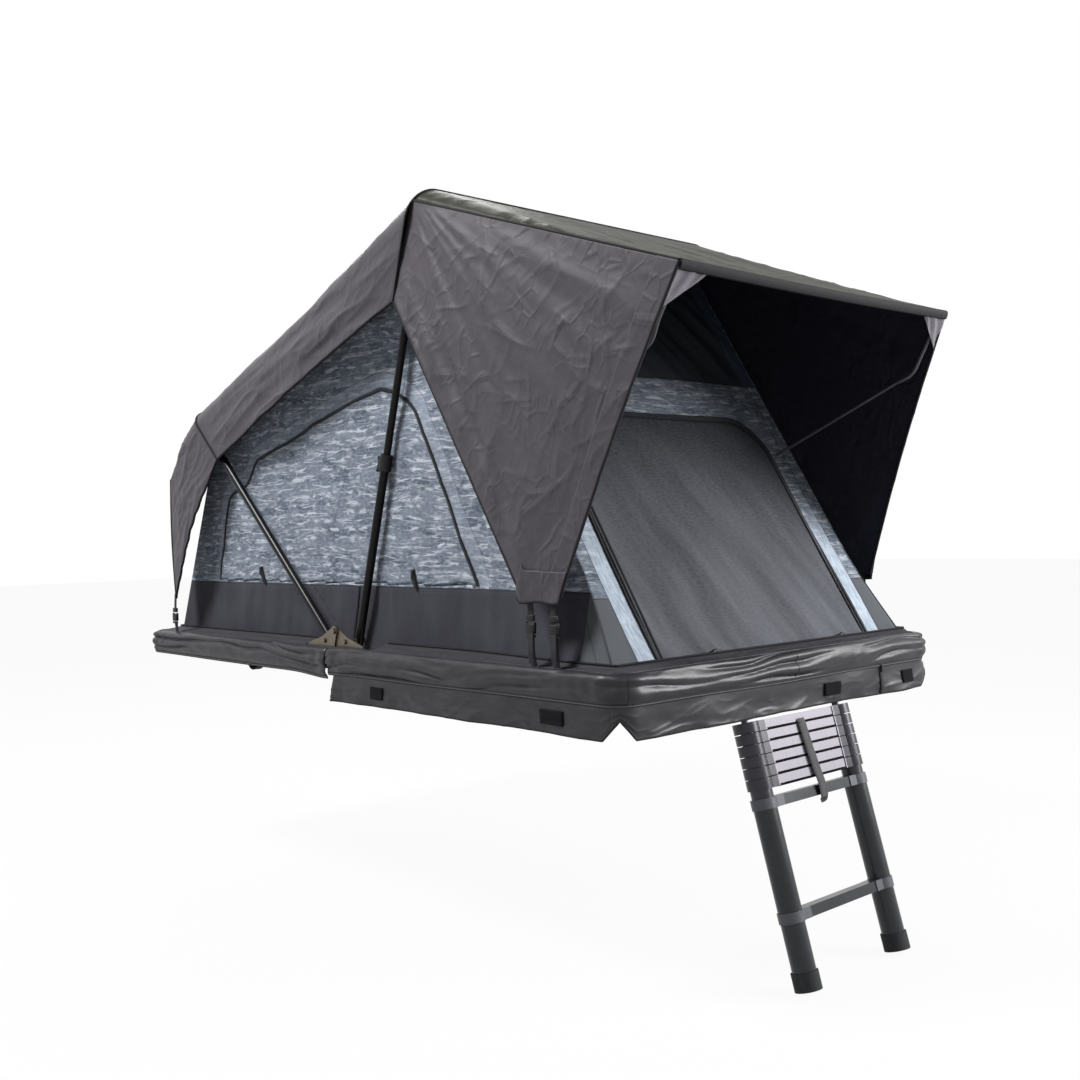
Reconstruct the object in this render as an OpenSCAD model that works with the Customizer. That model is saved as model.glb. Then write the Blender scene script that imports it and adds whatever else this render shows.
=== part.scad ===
// Fold-out roof top tent: a fixed base half on rack rails, a fold-out half on side hinges,
// three fabric bows, a tent body, a fly sheet with awning, and a telescopic ladder.
// Modelling frame: x = 0 on the hinge line, z = 0 on top of the base, fold-out half at +X.

/* [Base] */
// Length of each base half, along X
half_l = 1180; // [1160:10:1260]
// Width of the base, along Y
base_w = 1300; // [1280:10:1400]
// Height of the base frame channel
base_h = 50; // [44:1:70]
// Corner radius at the outer ends of the base
corner_r = 55; // [35:1:80]
// Sheet thickness of the frame channel
frame_t = 3; // [2:0.5:4]
// Width of the channel's lower flange
flange_w = 40; // [34:1:50]
// Width of the channel's upper lip
lip_w = 30; // [28:1:36]
// Gap between the two halves at the hinge line
hinge_gap = 6; // [4:1:12]
// Thickness of a floor board
floor_t = 20; // [10:1:24]
// Width of a floor crossbar
crossbar_w = 40; // [30:1:60]
// Distance of the carry handle behind the hinge line
handle_x = 472; // [400:8:600]
// Number of crossbars under each floor board
crossbar_n = 3; // [2:1:5]
// Wall of a crossbar tube
crossbar_t = 2; // [1.5:0.5:4]

/* [Rack rails] */
// Width of a rack rail
rail_w = 60; // [50:1:80]
// Height of a rack rail
rail_h = 30; // [24:1:45]
// Wall of a rack rail
rail_t = 3; // [2:0.5:4]
// Distance between the two rails, across the tent
rail_spacing = 900; // [700:10:1000]
// Distance between the two slots of one rail
slot_spacing = 700; // [500:10:900]
// Width of a slot, for M8 bolts
slot_w = 9; // [7:0.5:11]
// Length of a slot
slot_l = 40; // [25:1:60]
// Shank of the bolts that hold the rails to the base
rail_bolt_d = 8; // [6:1:10]

/* [Hinges] */
// Height of the main hinge axis above the base: half the closed gap
hinge_z = 60; // [56:1:80]
// Plate thickness of a hinge leaf
leaf_t = 5; // [3:0.5:6]
// Length of a hinge leaf, along X
leaf_l = 150; // [110:1:200]
// Radius of the leaf's eye round the hinge pin
eye_r = 15; // [12:0.5:18]
// Diameter of the main hinge pin
hinge_pin_d = 12; // [8:0.5:14]
// Distance of the fixed leaf from the side of the base
leaf_inset = 15; // [13:0.5:20]
// Shank of the bolts that hold the leaves down
leaf_bolt_d = 6; // [5:0.5:8]
// Diameter of the bolts that the bows turn on
pivot_d = 8; // [6:0.5:10]
// Distance of the bow pivots from the hinge line
pivot_x = 50; // [40:1:60]
// Height of the bow pivots above the base
pivot_z = 30; // [26:1:34]

/* [Bows] */
// Outer diameter of the rear bow and of the lower ridge legs
bow_d = 25; // [22:0.5:28]
// Wall of the bow tubes
bow_t = 1.5; // [1:0.1:2]
// Centre-line radius of the bow corners
bend_r = 70; // [60:1:90]
// Reach of the rear bow behind the hinge line
rear_x = 874; // [800:2:920]
// Height of the rear bow's bar above the base
rear_z = 775; // [700:5:850]
// Reach of the ridge bow in front of the hinge line
ridge_x = 423; // [360:1:480]
// Height of the ridge bar above the base
ridge_z = 1259; // [1150:5:1350]
// Length of the lower ridge legs above their pivots
ridge_low_l = 540; // [480:5:600]
// Length of the upper ridge legs inside the lower ones
ridge_in = 150; // [120:5:200]
// Travel of the upper ridge bow when it is pushed in to close the tent
ridge_travel = 230; // [200:5:260]
// Height of a telescope clamp
clamp_h = 46; // [36:1:60]
// Outer diameter of a telescope clamp
clamp_d = 36; // [33:0.5:42]
// Length of a clamp lever
lever_l = 42; // [36:1:46]

/* [Door bow and struts] */
// Outer diameter of the door bow
door_bow_d = 20; // [16:0.5:22]
// Length of the door bow's legs, pivot to bar
door_bow_l = 800; // [740:5:800]
// Distance of the door bow's legs from the side of the base
door_bow_in = 188; // [175:1:190]
// Clearance between the door bow and the door wall
door_gap = 5; // [3:0.5:12]
// Distance of a strut's foot from the door bow's pivot, along its leg
strut_at = 570; // [530:5:620]
// Diameter of an awning strut
strut_d = 9; // [7:0.5:12]
// Upward angle of a strut from level
strut_tilt = 26; // [20:1:32]
// Outward angle of a strut, towards the awning's side
strut_splay = 8.5; // [4:0.5:9]
// Length of a strut
strut_l = 505; // [440:5:510]

/* [Tent body] */
// Thickness of the tent cloth
cloth_t = 3; // [2:0.5:4]
// Distance of the side walls from the side of the base
wall_in = 90; // [89:1:110]
// Distance of the end walls' feet from the outer ends of the base
wall_end = 50; // [40:1:70]
// Distance of the door opening from the side of the base
door_side = 205; // [200:5:240]
// Height of the door opening, along the sloping wall
door_h = 775; // [700:5:800]
// Radius of the door's upper corners
door_r = 110; // [80:5:150]
// Distance of a window's rear edge behind the hinge line
window_rear = 660; // [560:5:700]
// Distance of a window's front foot in front of the hinge line
window_front = 530; // [440:5:560]
// Height of a window's foot above the base
window_z = 230; // [200:5:260]
// Height of a window's rear corner above the base
window_low = 565; // [500:5:580]
// Height of a window's front corner above the base
window_high = 775; // [700:5:820]
// Slant of a window's front edge, from foot to corner
window_slant = 260; // [200:5:300]
// Radius of a window's upper corners
window_r = 90; // [60:5:120]
// Thickness of a mattress
mattress_t = 44; // [38:1:45]
// Distance of a mattress from the side of the base
mattress_in = 110; // [95:5:150]
// Height of a mattress's crown above its edges
crown = 6; // [0:0.5:10]

/* [Fly sheet] */
// Drop of the roof sheet's hem along the rear bow's legs
hem_rear = 248; // [200:4:290]
// Drop of the roof sheet's hem along the ridge bow's legs
hem_ridge = 290; // [240:5:340]
// Reach of the awning's front edge in front of the hinge line
awning_x = 1316; // [1240:4:1360]
// Height of the awning's front edge
awning_z = 927; // [860:5:980]
// Distance of the awning's front corners from the side of the base
awning_in = 84; // [50:2:110]
// Place of the side panels' tie-down, in front of the hinge line
tie_x = 930; // [880:5:990]
// Height of the side panels' lower edge
tie_z = 182; // [150:4:240]
// Width of the side panels' lower edge
tie_w = 135; // [110:5:170]
// Place of the rear fall's tie-down, behind the hinge line
rear_tie_x = 1005; // [960:5:1040]
// Height of the rear fall's tie-down
rear_tie_z = 130; // [100:5:180]
// Place of the rear fall's lower edge, behind the hinge line
rear_hem_x = 1040; // [1000:5:1080]
// Height of the rear fall's lower edge
rear_hem_z = 556; // [480:4:600]
// Sag of the roof sheet between the bars
roof_sag = 14; // [0:1:30]
// Sag of the awning's top between the ridge and the front edge
awning_sag = 26; // [0:1:50]
// How far the side panels billow outwards
billow_a = 24; // [0:1:40]
// How far the side panels' front edge bows forwards
front_bow = 40; // [0:2:50]
// How far the side panels' lower edge is drawn out from the fly's side
tie_out = 20; // [5:1:40]
// Width of the tie-down webbing
strap_w = 25; // [20:1:40]
// Thickness of the webbing
strap_t = 2; // [1.5:0.5:3]

/* [Cover band and skirt] */
// Radius of the padded cover band's bulge
band_r = 45; // [42:1:60]
// How far the band stands out from the base
band_out = 20; // [14:1:26]
// Height of the hanging skirt's lower edge below the base's top
skirt_drop = 138; // [110:2:142]
// Depth of the skirt's folds at its hem
fold_a = 5; // [0:0.5:6]
// Length of one fold of the skirt
fold_l = 290; // [150:10:400]

/* [Ladder] */
// Lean of the ladder from upright
lean = 15.5; // [8:0.5:20]
// Distance of the ladder's pivot from the outer end of the base
ladder_in = 20; // [18:1:26]
// Depth of the ladder's pivot below the base's top
ladder_z = 105; // [96:1:110]
// Distance of the top rung from the pivot, along the ladder
top_gap = 48; // [44:1:60]
// Distance between the two ladder tubes
stile_w = 392; // [340:2:440]
// Outer diameter of the lowest ladder tubes
stile_d = 60; // [56:0.5:64]
// Wall of the ladder tubes
stile_t = 1.8; // [1.5:0.1:2]
// Running clearance between nested ladder tubes
stile_gap = 0.3; // [0.2:0.05:0.5]
// Length of a sliding ladder tube
stile_l = 390; // [370:5:420]
// Distance between stacked rungs
rung_pitch = 28; // [27:0.5:36]
// Height of a rung
rung_h = 26; // [22:0.5:26.5]
// Depth of a rung, front to back
rung_d = 42; // [34:1:48]
// Space between the stack and the lowest section
stack_gap = 20; // [12:1:30]
// Distance from the lowest section's top rung to its lower rung
low_rung = 273; // [250:1:300]
// Length of the lowest section's tubes
low_l = 450; // [420:5:480]
// Height of a ladder foot
foot_h = 44; // [30:1:60]

/* [Hidden] */
$fn = 48;

clear = 0.3;
fit = 0.1;
eps = 1;
half_w = base_w / 2;
mattress_w = base_w - 2 * mattress_in;
door_w = base_w - 2 * door_side;
door_bow_y = half_w - door_bow_in;
awning_y = half_w - awning_in;
crossbar_h = base_h - 2 * frame_t - floor_t;
floor_z = -frame_t;

// Depths from the side of the base, outside in: leaves, rear bow, ridge bow
fold_leaf_in = leaf_inset + leaf_t + 0.5;
nut_h = 4;
head_h = 5.5;
rear_in = fold_leaf_in + leaf_t + 1.5 + bow_d / 2;
ridge_in_y = rear_in + bow_d / 2 + nut_h + 2.5 + bow_d / 2;
rear_y = half_w - rear_in;
ridge_y = half_w - ridge_in_y;

rear_len = norm([rear_x - pivot_x, rear_z - pivot_z]);
rear_angle = atan2(rear_z - pivot_z, pivot_x - rear_x);
ridge_len = norm([ridge_x - pivot_x, ridge_z - pivot_z]);
ridge_angle = atan2(ridge_z - pivot_z, ridge_x - pivot_x);
upper_d = bow_d - 2 * bow_t - 2 * clear;
sleeve_t = 3;
socket_l = 40;
foot_ext = 18;

wall_y = half_w - wall_in;
shoulder_r = bend_r - sleeve_t - bow_d / 2 - 4;

// Lower corners of the side walls, and the points under the two bars
rear_foot = -half_l + wall_end;
door_foot = half_l - wall_end;
rear_top = [-rear_x, rear_z] + bend_r * [cos(rear_angle + 180), sin(rear_angle + 180)];
ridge_top = [ridge_x, ridge_z] + bend_r * [cos(ridge_angle + 180), sin(ridge_angle + 180)];
door_slope = atan2(ridge_top[1] - floor_z, ridge_top[0] - door_foot);
door_len = norm([ridge_top[0] - door_foot, ridge_top[1] - floor_z]);
rear_slope = atan2(rear_top[1] - floor_z, rear_top[0] - rear_foot);
rear_wall_len = norm([rear_top[0] - rear_foot, rear_top[1] - floor_z]);

// Pivot of the door bow: level with the main hinge, its legs just inside the door wall
door_in = cloth_t + door_bow_d / 2 + sleeve_t + door_gap;
door_up = (hinge_z - floor_z - clear - door_in * cos(door_slope)) / sin(door_slope);
door_pivot = [door_foot - cloth_t + door_up * cos(door_slope) - door_in * sin(door_slope), hinge_z];
ladder_pivot = [half_l - ladder_in, -ladder_z];
sections = 6;
bottom_s = top_gap + sections * rung_pitch + stack_gap;

alloy = "silver";
black = "#222226";
cloth = "#6f7f93";
charcoal = "#3b3b40";
fly_cloth = "#3d3a3e";
zinc = "#b9a982";

// Carries the modelling frame to the part's own frame, at the middle of the rack slots
module placed() {
    translate([half_l / 2, 0, base_h + rail_h])
        children();
}

module both_sides() {
    children();
    mirror([0, 1, 0])
        children();
}

module fixed_half() {
    mirror([1, 0, 0])
        children();
}

// A round bar across the tent, between two depths from the side of the base
module cross_pin(x, z, from, to, d, sides = 48) {
    translate([x, half_w - to, z])
        rotate([-90, 0, 0])
            cylinder(d = d, h = to - from, $fn = sides);
}

module tube(d, t, h) {
    difference() {
        cylinder(d = d, h = h);
        translate([0, 0, -eps])
            cylinder(d = d - 2 * t, h = h + 2 * eps);
    }
}

// Plan of one base half, its outer corners rounded
module base_plan(inset) {
    x0 = hinge_gap / 2 + inset;
    x1 = half_l - inset;
    w = half_w - inset;
    r = max(corner_r - inset, 2);
    translate([x0, -w])
        square([x1 - r - x0, 2 * w]);
    translate([x0, -w + r])
        square([x1 - x0, 2 * (w - r)]);
    for (side = [-1, 1])
        translate([x1 - r, side * (w - r)])
            circle(r);
}

module slab(inset, z, h) {
    translate([0, 0, z])
        linear_extrude(h)
            base_plan(inset);
}

leaf_bolt_xs = [leaf_l * 0.3, leaf_l * 0.6, leaf_l * 0.9];
leaf_bolt_in = leaf_inset / 2 + 0.5;
leaf_bolt_head = 9;

module leaf_bolt_holes() {
    both_sides()
        for (x = leaf_bolt_xs)
            translate([x, half_w - leaf_bolt_in, -frame_t - eps])
                cylinder(d = leaf_bolt_d + 2 * fit, h = frame_t + leaf_t + 3 * eps);
}

rail_bolt_x = flange_w / 2;

module rail_bolt_holes() {
    for (x = [hinge_gap / 2 + rail_bolt_x, half_l - rail_bolt_x], side = [-1, 1])
        translate([x, side * rail_spacing / 2, -base_h - rail_t - eps])
            cylinder(d = rail_bolt_d + 2 * fit, h = frame_t + rail_t + 2 * eps);
}

// Folded channel that rings one half: outer web, lower flange and upper lip
module base_channel() {
    difference() {
        slab(0, -base_h, base_h);
        slab(frame_t, -base_h + frame_t, base_h - 2 * frame_t);
        slab(flange_w, -base_h - eps, frame_t + 2 * eps);
        slab(lip_w, -frame_t - eps, frame_t + 2 * eps);
        leaf_bolt_holes();
    }
}

module crossbars() {
    span = base_w - 2 * frame_t - 2 * clear;
    first = hinge_gap / 2 + flange_w + crossbar_w;
    step = (half_l - flange_w - crossbar_w - first) / (crossbar_n - 1);
    for (i = [0 : crossbar_n - 1])
        translate([first + i * step - crossbar_w / 2, -span / 2, -base_h + frame_t])
            difference() {
                cube([crossbar_w, span, crossbar_h]);
                translate([crossbar_t, -eps, crossbar_t])
                    cube([crossbar_w - 2 * crossbar_t, span + 2 * eps, crossbar_h - 2 * crossbar_t]);
            }
}

module floor_board() {
    slab(frame_t + clear, floor_z - floor_t, floor_t);
}

// Foam pad from x0 to x1: crowned top, sides drawn in between the corners
module mattress(x0, x1) {
    nu = 16;
    nv = 14;
    pull = 12;
    base = clear;
    lift = mattress_t - clear;
    function edge(t) = pow(abs(2 * t - 1), 4);
    function place(i, j, top) = let (
        u = i / nu,
        v = j / nv,
        mid = (x0 + x1) / 2,
        hx = (x1 - x0) / 2 - pull * (1 - edge(v)) * abs(2 * u - 1),
        hy = mattress_w / 2 - pull * (1 - edge(u)) * abs(2 * v - 1),
        rise = lift - crown + crown * (1 - edge(u)) * (1 - edge(v))
    ) [mid + (2 * u - 1) * hx, (2 * v - 1) * hy, base + (top ? rise : 0)];
    sheet_solid([for (i = [0 : nu]) [for (j = [0 : nv]) place(i, j, false)]],
        [for (i = [0 : nu]) [for (j = [0 : nv]) place(i, j, true)]]);
}

// Closes two grids of points, one over the other, into one solid
module sheet_solid(low, high) {
    n = len(low);
    m = len(low[0]);
    function at(i, j, k) = (k * n + i) * m + j;
    function quad(a, b, c, d) = [[a, b, c], [a, c, d]];
    cells = [for (i = [0 : n - 2], j = [0 : m - 2], k = [0, 1])
        each k == 1
            ? quad(at(i, j, 1), at(i, j + 1, 1), at(i + 1, j + 1, 1), at(i + 1, j, 1))
            : quad(at(i, j, 0), at(i + 1, j, 0), at(i + 1, j + 1, 0), at(i, j + 1, 0))];
    sides = [for (i = [0 : n - 2])
        each concat(quad(at(i, 0, 1), at(i + 1, 0, 1), at(i + 1, 0, 0), at(i, 0, 0)),
            quad(at(i, m - 1, 0), at(i + 1, m - 1, 0), at(i + 1, m - 1, 1), at(i, m - 1, 1)))];
    ends = [for (j = [0 : m - 2])
        each concat(quad(at(0, j, 0), at(0, j + 1, 0), at(0, j + 1, 1), at(0, j, 1)),
            quad(at(n - 1, j, 1), at(n - 1, j + 1, 1), at(n - 1, j + 1, 0), at(n - 1, j, 0)))];
    points = [for (grid = [low, high], row = grid, p = row) p];
    polyhedron(points, [for (f = concat(cells, sides, ends)) f]);
}

// Cloth of one thickness laid along an offset from a grid of points
module cloth_sheet(grid, offset) {
    sheet_solid(grid, [for (row = grid) [for (p = row) p + offset]]);
}

// Section of the padded band: n outwards from the base's side, then z
module band_section() {
    intersection() {
        translate([band_out - band_r, -base_h / 2 + 1])
            circle(band_r, $fn = 96);
        translate([clear, -2 * base_h])
            square([band_out, 4 * base_h]);
    }
}

// Padded band along the three free sides of one half
module cover_band() {
    both_sides() {
        translate([hinge_gap / 2, half_w, 0])
            rotate([90, 0, 90])
                linear_extrude(half_l - corner_r - hinge_gap / 2)
                    band_section();
        translate([half_l - corner_r, half_w - corner_r, 0])
            rotate_extrude(angle = 90)
                translate([corner_r, 0])
                    band_section();
    }
    translate([half_l, half_w - corner_r, 0])
        rotate([90, 0, 0])
            linear_extrude(base_w - 2 * corner_r)
                band_section();
}

// Hanging skirt of the fold-out half, a strip of cloth with soft folds
skirt_n = band_out * 0.4;
skirt_top = -base_h / 2 + 1 - sqrt(pow(band_r, 2) - pow(skirt_n + band_r - band_out, 2)) - 2 * clear;
skirt_start = 30;

function skirt_r() = corner_r + skirt_n;
function skirt_side() = half_l - corner_r - skirt_start;
function skirt_arc() = PI * skirt_r() / 2;
function skirt_end() = base_w - 2 * corner_r;
function skirt_path() = 2 * skirt_side() + 2 * skirt_arc() + skirt_end();

// Point and outward normal at distance s along the skirt, from the near hinge end
function skirt_at(s) =
    s < skirt_side() ? [[skirt_start + s, -half_w - skirt_n], [0, -1]]
    : s < skirt_side() + skirt_arc()
        ? let (a = (s - skirt_side()) / skirt_r() * 180 / PI - 90)
            [[half_l - corner_r, -half_w + corner_r] + skirt_r() * [cos(a), sin(a)], [cos(a), sin(a)]]
    : s < skirt_side() + skirt_arc() + skirt_end()
        ? [[half_l + skirt_n, -half_w + corner_r + s - skirt_side() - skirt_arc()], [1, 0]]
    : let (m = skirt_at(skirt_path() - s))
        [[m[0][0], -m[0][1]], [m[1][0], -m[1][1]]];

// Stations along the skirt, closer together round the corners
function skirt_run(from, length, n) = [for (i = [0 : n - 1]) from + length * i / n];
function skirt_stations() = let (
    side = skirt_side(),
    arc = skirt_arc(),
    end = skirt_end()
) concat(skirt_run(0, side, 34), skirt_run(side, arc, 8), skirt_run(side + arc, end, 22),
    skirt_run(side + arc + end, arc, 8), skirt_run(side + 2 * arc + end, side, 34), [skirt_path()]);

module skirt_cloth() {
    stations = skirt_stations();
    steps = len(stations) - 1;
    rows = 4;
    function place(i, j, out) = let (
        s = min(stations[i], skirt_path()),
        at = skirt_at(s),
        depth = j / rows,
        n = fold_a * depth * sin(360 * s / fold_l) + (out ? cloth_t : 0),
        p = at[0] + n * at[1]
    ) [p[0], p[1], skirt_top + (-skirt_drop - skirt_top) * depth];
    sheet_solid([for (i = [0 : steps]) [for (j = [0 : rows]) place(i, j, true)]],
        [for (i = [0 : steps]) [for (j = [0 : rows]) place(i, j, false)]]);
}

// Hinge leaf: a foot on the frame's lip and an upright cheek with the eye
module hinge_leaf(inset) {
    toe = 4;
    difference() {
        union() {
            translate([0, half_w - inset, 0])
                rotate([90, 0, 0])
                    linear_extrude(leaf_t) {
                        translate([0, hinge_z])
                            circle(eye_r);
                        polygon([[toe, 0], [leaf_l, 0], [leaf_l, leaf_t], [leaf_l - 12, leaf_t + 16],
                            [pivot_x + 14, pivot_z + 12], [eye_r - 3, hinge_z + eye_r * 0.6],
                            [-eye_r * 0.7, hinge_z - eye_r * 0.7]]);
                    }
            translate([toe, half_w - inset - leaf_t, 0])
                cube([leaf_l - toe, inset + leaf_t - 2, leaf_t]);
        }
        cross_pin(0, hinge_z, -eps, inset + leaf_t + eps, hinge_pin_d + 2 * fit);
        cross_pin(pivot_x, pivot_z, -eps, inset + leaf_t + eps, pivot_d + 2 * fit);
        leaf_bolt_holes();
    }
}

module leaf_bolts() {
    both_sides()
        for (x = leaf_bolt_xs)
            translate([x, half_w - leaf_bolt_in, 0]) {
                translate([0, 0, leaf_t])
                    cylinder(d = leaf_bolt_head, h = 4, $fn = 6);
                translate([0, 0, -frame_t])
                    cylinder(d = leaf_bolt_d, h = frame_t + leaf_t);
            }
}

// Bolt that a bow leg turns on: head outside the leaf, shoulder, shank and nut
module bow_bolt(x, leaf_in, leg_in) {
    cross_pin(x, pivot_z, leaf_in - head_h, leaf_in - clear, 1.8 * pivot_d, 6);
    cross_pin(x, pivot_z, leaf_in - clear, leaf_in + leaf_t + clear, pivot_d);
    cross_pin(x, pivot_z, leaf_in + leaf_t + clear, leg_in - bow_d / 2 - clear, 1.8 * pivot_d);
    cross_pin(x, pivot_z, leg_in - bow_d / 2 - clear, leg_in + bow_d / 2 + clear, pivot_d);
    cross_pin(x, pivot_z, leg_in + bow_d / 2 + clear, leg_in + bow_d / 2 + clear + nut_h, 1.7 * pivot_d, 6);
}

// Turns a bow's own frame, legs along +Z, to its angle at its pivot
module bow_frame(x, z, angle) {
    translate([x, 0, z])
        rotate([0, 90 - angle, 0])
            children();
}

module bow_legs(y, from, to, d, bore = 0) {
    both_sides()
        difference() {
            translate([0, y, from])
                tube(d, bow_t, to - from);
            if (bore > 0)
                translate([0, y - d, 0])
                    rotate([-90, 0, 0])
                        cylinder(d = bore + 2 * fit, h = 2 * d);
        }
}

// Moulded corner: a bent sleeve that the leg and the bar plug into
module bow_corners(y, top, d) {
    both_sides() {
        translate([0, y - bend_r, top - bend_r])
            rotate([90, 0, 90])
                rotate_extrude(angle = 90)
                    translate([bend_r, 0])
                        difference() {
                            circle(d = d + 2 * sleeve_t);
                            circle(d = d - 2 * bow_t);
                        }
        translate([0, y, top - bend_r - socket_l])
            tube(d + 2 * sleeve_t, sleeve_t - fit, socket_l);
        translate([0, y - bend_r - socket_l, top])
            rotate([-90, 0, 0])
                tube(d + 2 * sleeve_t, sleeve_t - fit, socket_l);
    }
}

module bow_bar(y, top, d) {
    translate([0, -y + bend_r, top])
        rotate([-90, 0, 0])
            tube(d, bow_t, 2 * (y - bend_r));
}

module rear_frame() {
    bow_frame(-pivot_x, pivot_z, rear_angle)
        children();
}

module ridge_frame() {
    bow_frame(pivot_x, pivot_z, ridge_angle)
        children();
}

module door_frame() {
    bow_frame(door_pivot[0], door_pivot[1], door_slope)
        children();
}

// Clamp round the top of one lower ridge leg, with two lugs for the lever's pin on its rear side
lever_x = clamp_d / 2 + 5;
lever_z = ridge_low_l + 8;
lever_w = 12;
lever_pin_d = 5;

module clamp_body() {
    lug_t = 4;
    mirror([1, 0, 0])
    difference() {
        union() {
            translate([0, ridge_y, ridge_low_l - clamp_h / 2])
                cylinder(d = clamp_d, h = clamp_h);
            for (side = [-1, 1])
                translate([0, ridge_y + side * (lever_w / 2 + clear + lug_t / 2), lever_z])
                    rotate([90, 0, 0])
                        linear_extrude(lug_t, center = true) {
                            translate([lever_x, 0])
                                circle(d = 12);
                            translate([0, -6])
                                square([lever_x, 12]);
                        }
        }
        translate([0, ridge_y, ridge_low_l - clamp_h])
            cylinder(d = bow_d + 2 * fit, h = clamp_h);
        translate([0, ridge_y, ridge_low_l - eps])
            cylinder(d = upper_d + 2 * clear, h = clamp_h);
        translate([clamp_d / 2 - 1.5, ridge_y - lever_w / 2 - clear, ridge_low_l - clamp_h])
            cube([clamp_d, lever_w + 2 * clear, 2 * clamp_h]);
        translate([lever_x, ridge_y - clamp_d, lever_z])
            rotate([-90, 0, 0])
                cylinder(d = lever_pin_d + 2 * fit, h = 2 * clamp_d);
    }
}

// Cam lever with its pin, lying down along the leg when shut
module clamp_lever() {
    pin_l = lever_w + 2 * clear + 8;
    mirror([1, 0, 0])
    translate([lever_x, ridge_y, lever_z]) {
        rotate([90, 0, 0])
            cylinder(d = lever_pin_d, h = pin_l, center = true);
        rotate([90, 0, 0])
            linear_extrude(lever_w, center = true) {
                circle(d = 10);
                polygon([[-2, 0], [5, 0], [7, -lever_l * 0.7], [11, -lever_l], [7, -lever_l],
                    [2, -lever_l * 0.75]]);
            }
    }
}

// Bracket on the frame's lip that a door bow leg turns in
bracket_t = 4;
door_pin_d = 6;

module door_bracket() {
    cheek = door_bow_d / 2 + clear;
    foot = 20;
    translate([door_pivot[0], door_bow_y, 0]) {
        for (side = [-1, 1])
            translate([0, side * (cheek + bracket_t / 2), door_pivot[1]])
                rotate([90, 0, 0])
                    linear_extrude(bracket_t, center = true) {
                        circle(d = foot);
                        translate([-foot / 2, floor_z - door_pivot[1]])
                            square([foot, door_pivot[1] - floor_z]);
                    }
        translate([-foot / 2, -cheek - bracket_t, floor_z])
            cube([foot, 2 * (cheek + bracket_t), bracket_t]);
        translate([0, 0, door_pivot[1]])
            rotate([90, 0, 0])
                cylinder(d = door_pin_d, h = 2 * (cheek + bracket_t) + 6, center = true);
    }
}

// Ring round a door bow leg with a side pin, and the strut that turns on the pin
strut_pin_d = 6;
strut_eye_d = 16;
strut_eye_t = 8;
strut_ring_d = door_bow_d + 2 * sleeve_t;
strut_off = strut_ring_d / 2 + clear + strut_eye_t / 2;

module at_strut(off) {
    translate([0, door_bow_y + off, strut_at])
        children();
}

// Rod with an eye at its foot and a rounded tip under the awning's edge
module strut_rod() {
    turn = strut_tilt + 90 - door_slope;
    start = strut_eye_d / 2 - 1.5;
    at_strut(strut_off)
        rotate([0, -turn, 0]) {
            rotate([90, 0, 0])
                difference() {
                    cylinder(d = strut_eye_d, h = strut_eye_t, center = true);
                    cylinder(d = strut_pin_d + 2 * fit, h = 2 * strut_eye_t, center = true);
                }
            rotate([0, 90, strut_splay]) {
                translate([0, 0, start])
                    cylinder(d = strut_d, h = strut_l - start - strut_d / 2);
                translate([0, 0, strut_l - strut_d / 2])
                    sphere(d = strut_d);
            }
        }
}

module strut_ring() {
    ring_h = 20;
    cap_t = 2.5;
    pin_l = strut_off + strut_eye_t / 2 + clear - door_bow_d / 2;
    difference() {
        at_strut(0)
            translate([0, 0, -ring_h / 2])
                cylinder(d = strut_ring_d, h = ring_h);
        at_strut(0)
            translate([0, 0, -ring_h])
                cylinder(d = door_bow_d - bow_t, h = 2 * ring_h);
    }
    at_strut(door_bow_d / 2)
        rotate([-90, 0, 0]) {
            cylinder(d = strut_pin_d, h = pin_l);
            translate([0, 0, pin_l])
                cylinder(d = strut_pin_d + 4.5, h = cap_t);
        }
}

module rack_rail_pair() {
    length = half_l - hinge_gap / 2 - 2 * frame_t;
    middle = half_l / 2 - hinge_gap / 2 - frame_t;
    for (side = [-1, 1])
        translate([hinge_gap / 2 + frame_t, side * rail_spacing / 2 - rail_w / 2, -base_h - rail_h])
            difference() {
                cube([length, rail_w, rail_h]);
                translate([-eps, rail_t, rail_t])
                    cube([length + 2 * eps, rail_w - 2 * rail_t, rail_h - 2 * rail_t]);
                for (end = [-1, 1])
                    translate([middle + end * slot_spacing / 2, rail_w / 2, -eps]) {
                        translate([-(slot_l - slot_w) / 2, -slot_w / 2, 0])
                            cube([slot_l - slot_w, slot_w, rail_t + 2 * eps]);
                        for (tip = [-1, 1])
                            translate([tip * (slot_l - slot_w) / 2, 0, 0])
                                cylinder(d = slot_w, h = rail_t + 2 * eps);
                    }
            }
}

module rack_rails() {
    color(alloy)
        fixed_half()
            difference() {
                rack_rail_pair();
                rail_bolt_holes();
            }
}

module rail_bolts() {
    color(zinc)
        fixed_half()
            for (x = [hinge_gap / 2 + rail_bolt_x, half_l - rail_bolt_x], side = [-1, 1])
                translate([x, side * rail_spacing / 2, -base_h]) {
                    translate([0, 0, -rail_t - 5])
                        cylinder(d = 1.7 * rail_bolt_d, h = 5, $fn = 6);
                    translate([0, 0, -rail_t])
                        cylinder(d = rail_bolt_d, h = rail_t + frame_t);
                    translate([0, 0, frame_t])
                        cylinder(d = 1.7 * rail_bolt_d, h = 6, $fn = 6);
                }
}

module fixed_frame() {
    color(alloy)
        fixed_half()
            difference() {
                base_channel();
                rail_bolt_holes();
            }
}

module fixed_crossbars() {
    color(alloy)
        fixed_half()
            crossbars();
}

module fixed_floor() {
    color("gainsboro")
        fixed_half()
            floor_board();
}

module fixed_mattress() {
    color("dimgray")
        mattress(rear_foot + 34, -hinge_gap - 2);
}

module fixed_band() {
    color(charcoal)
        fixed_half()
            cover_band();
}

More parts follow.
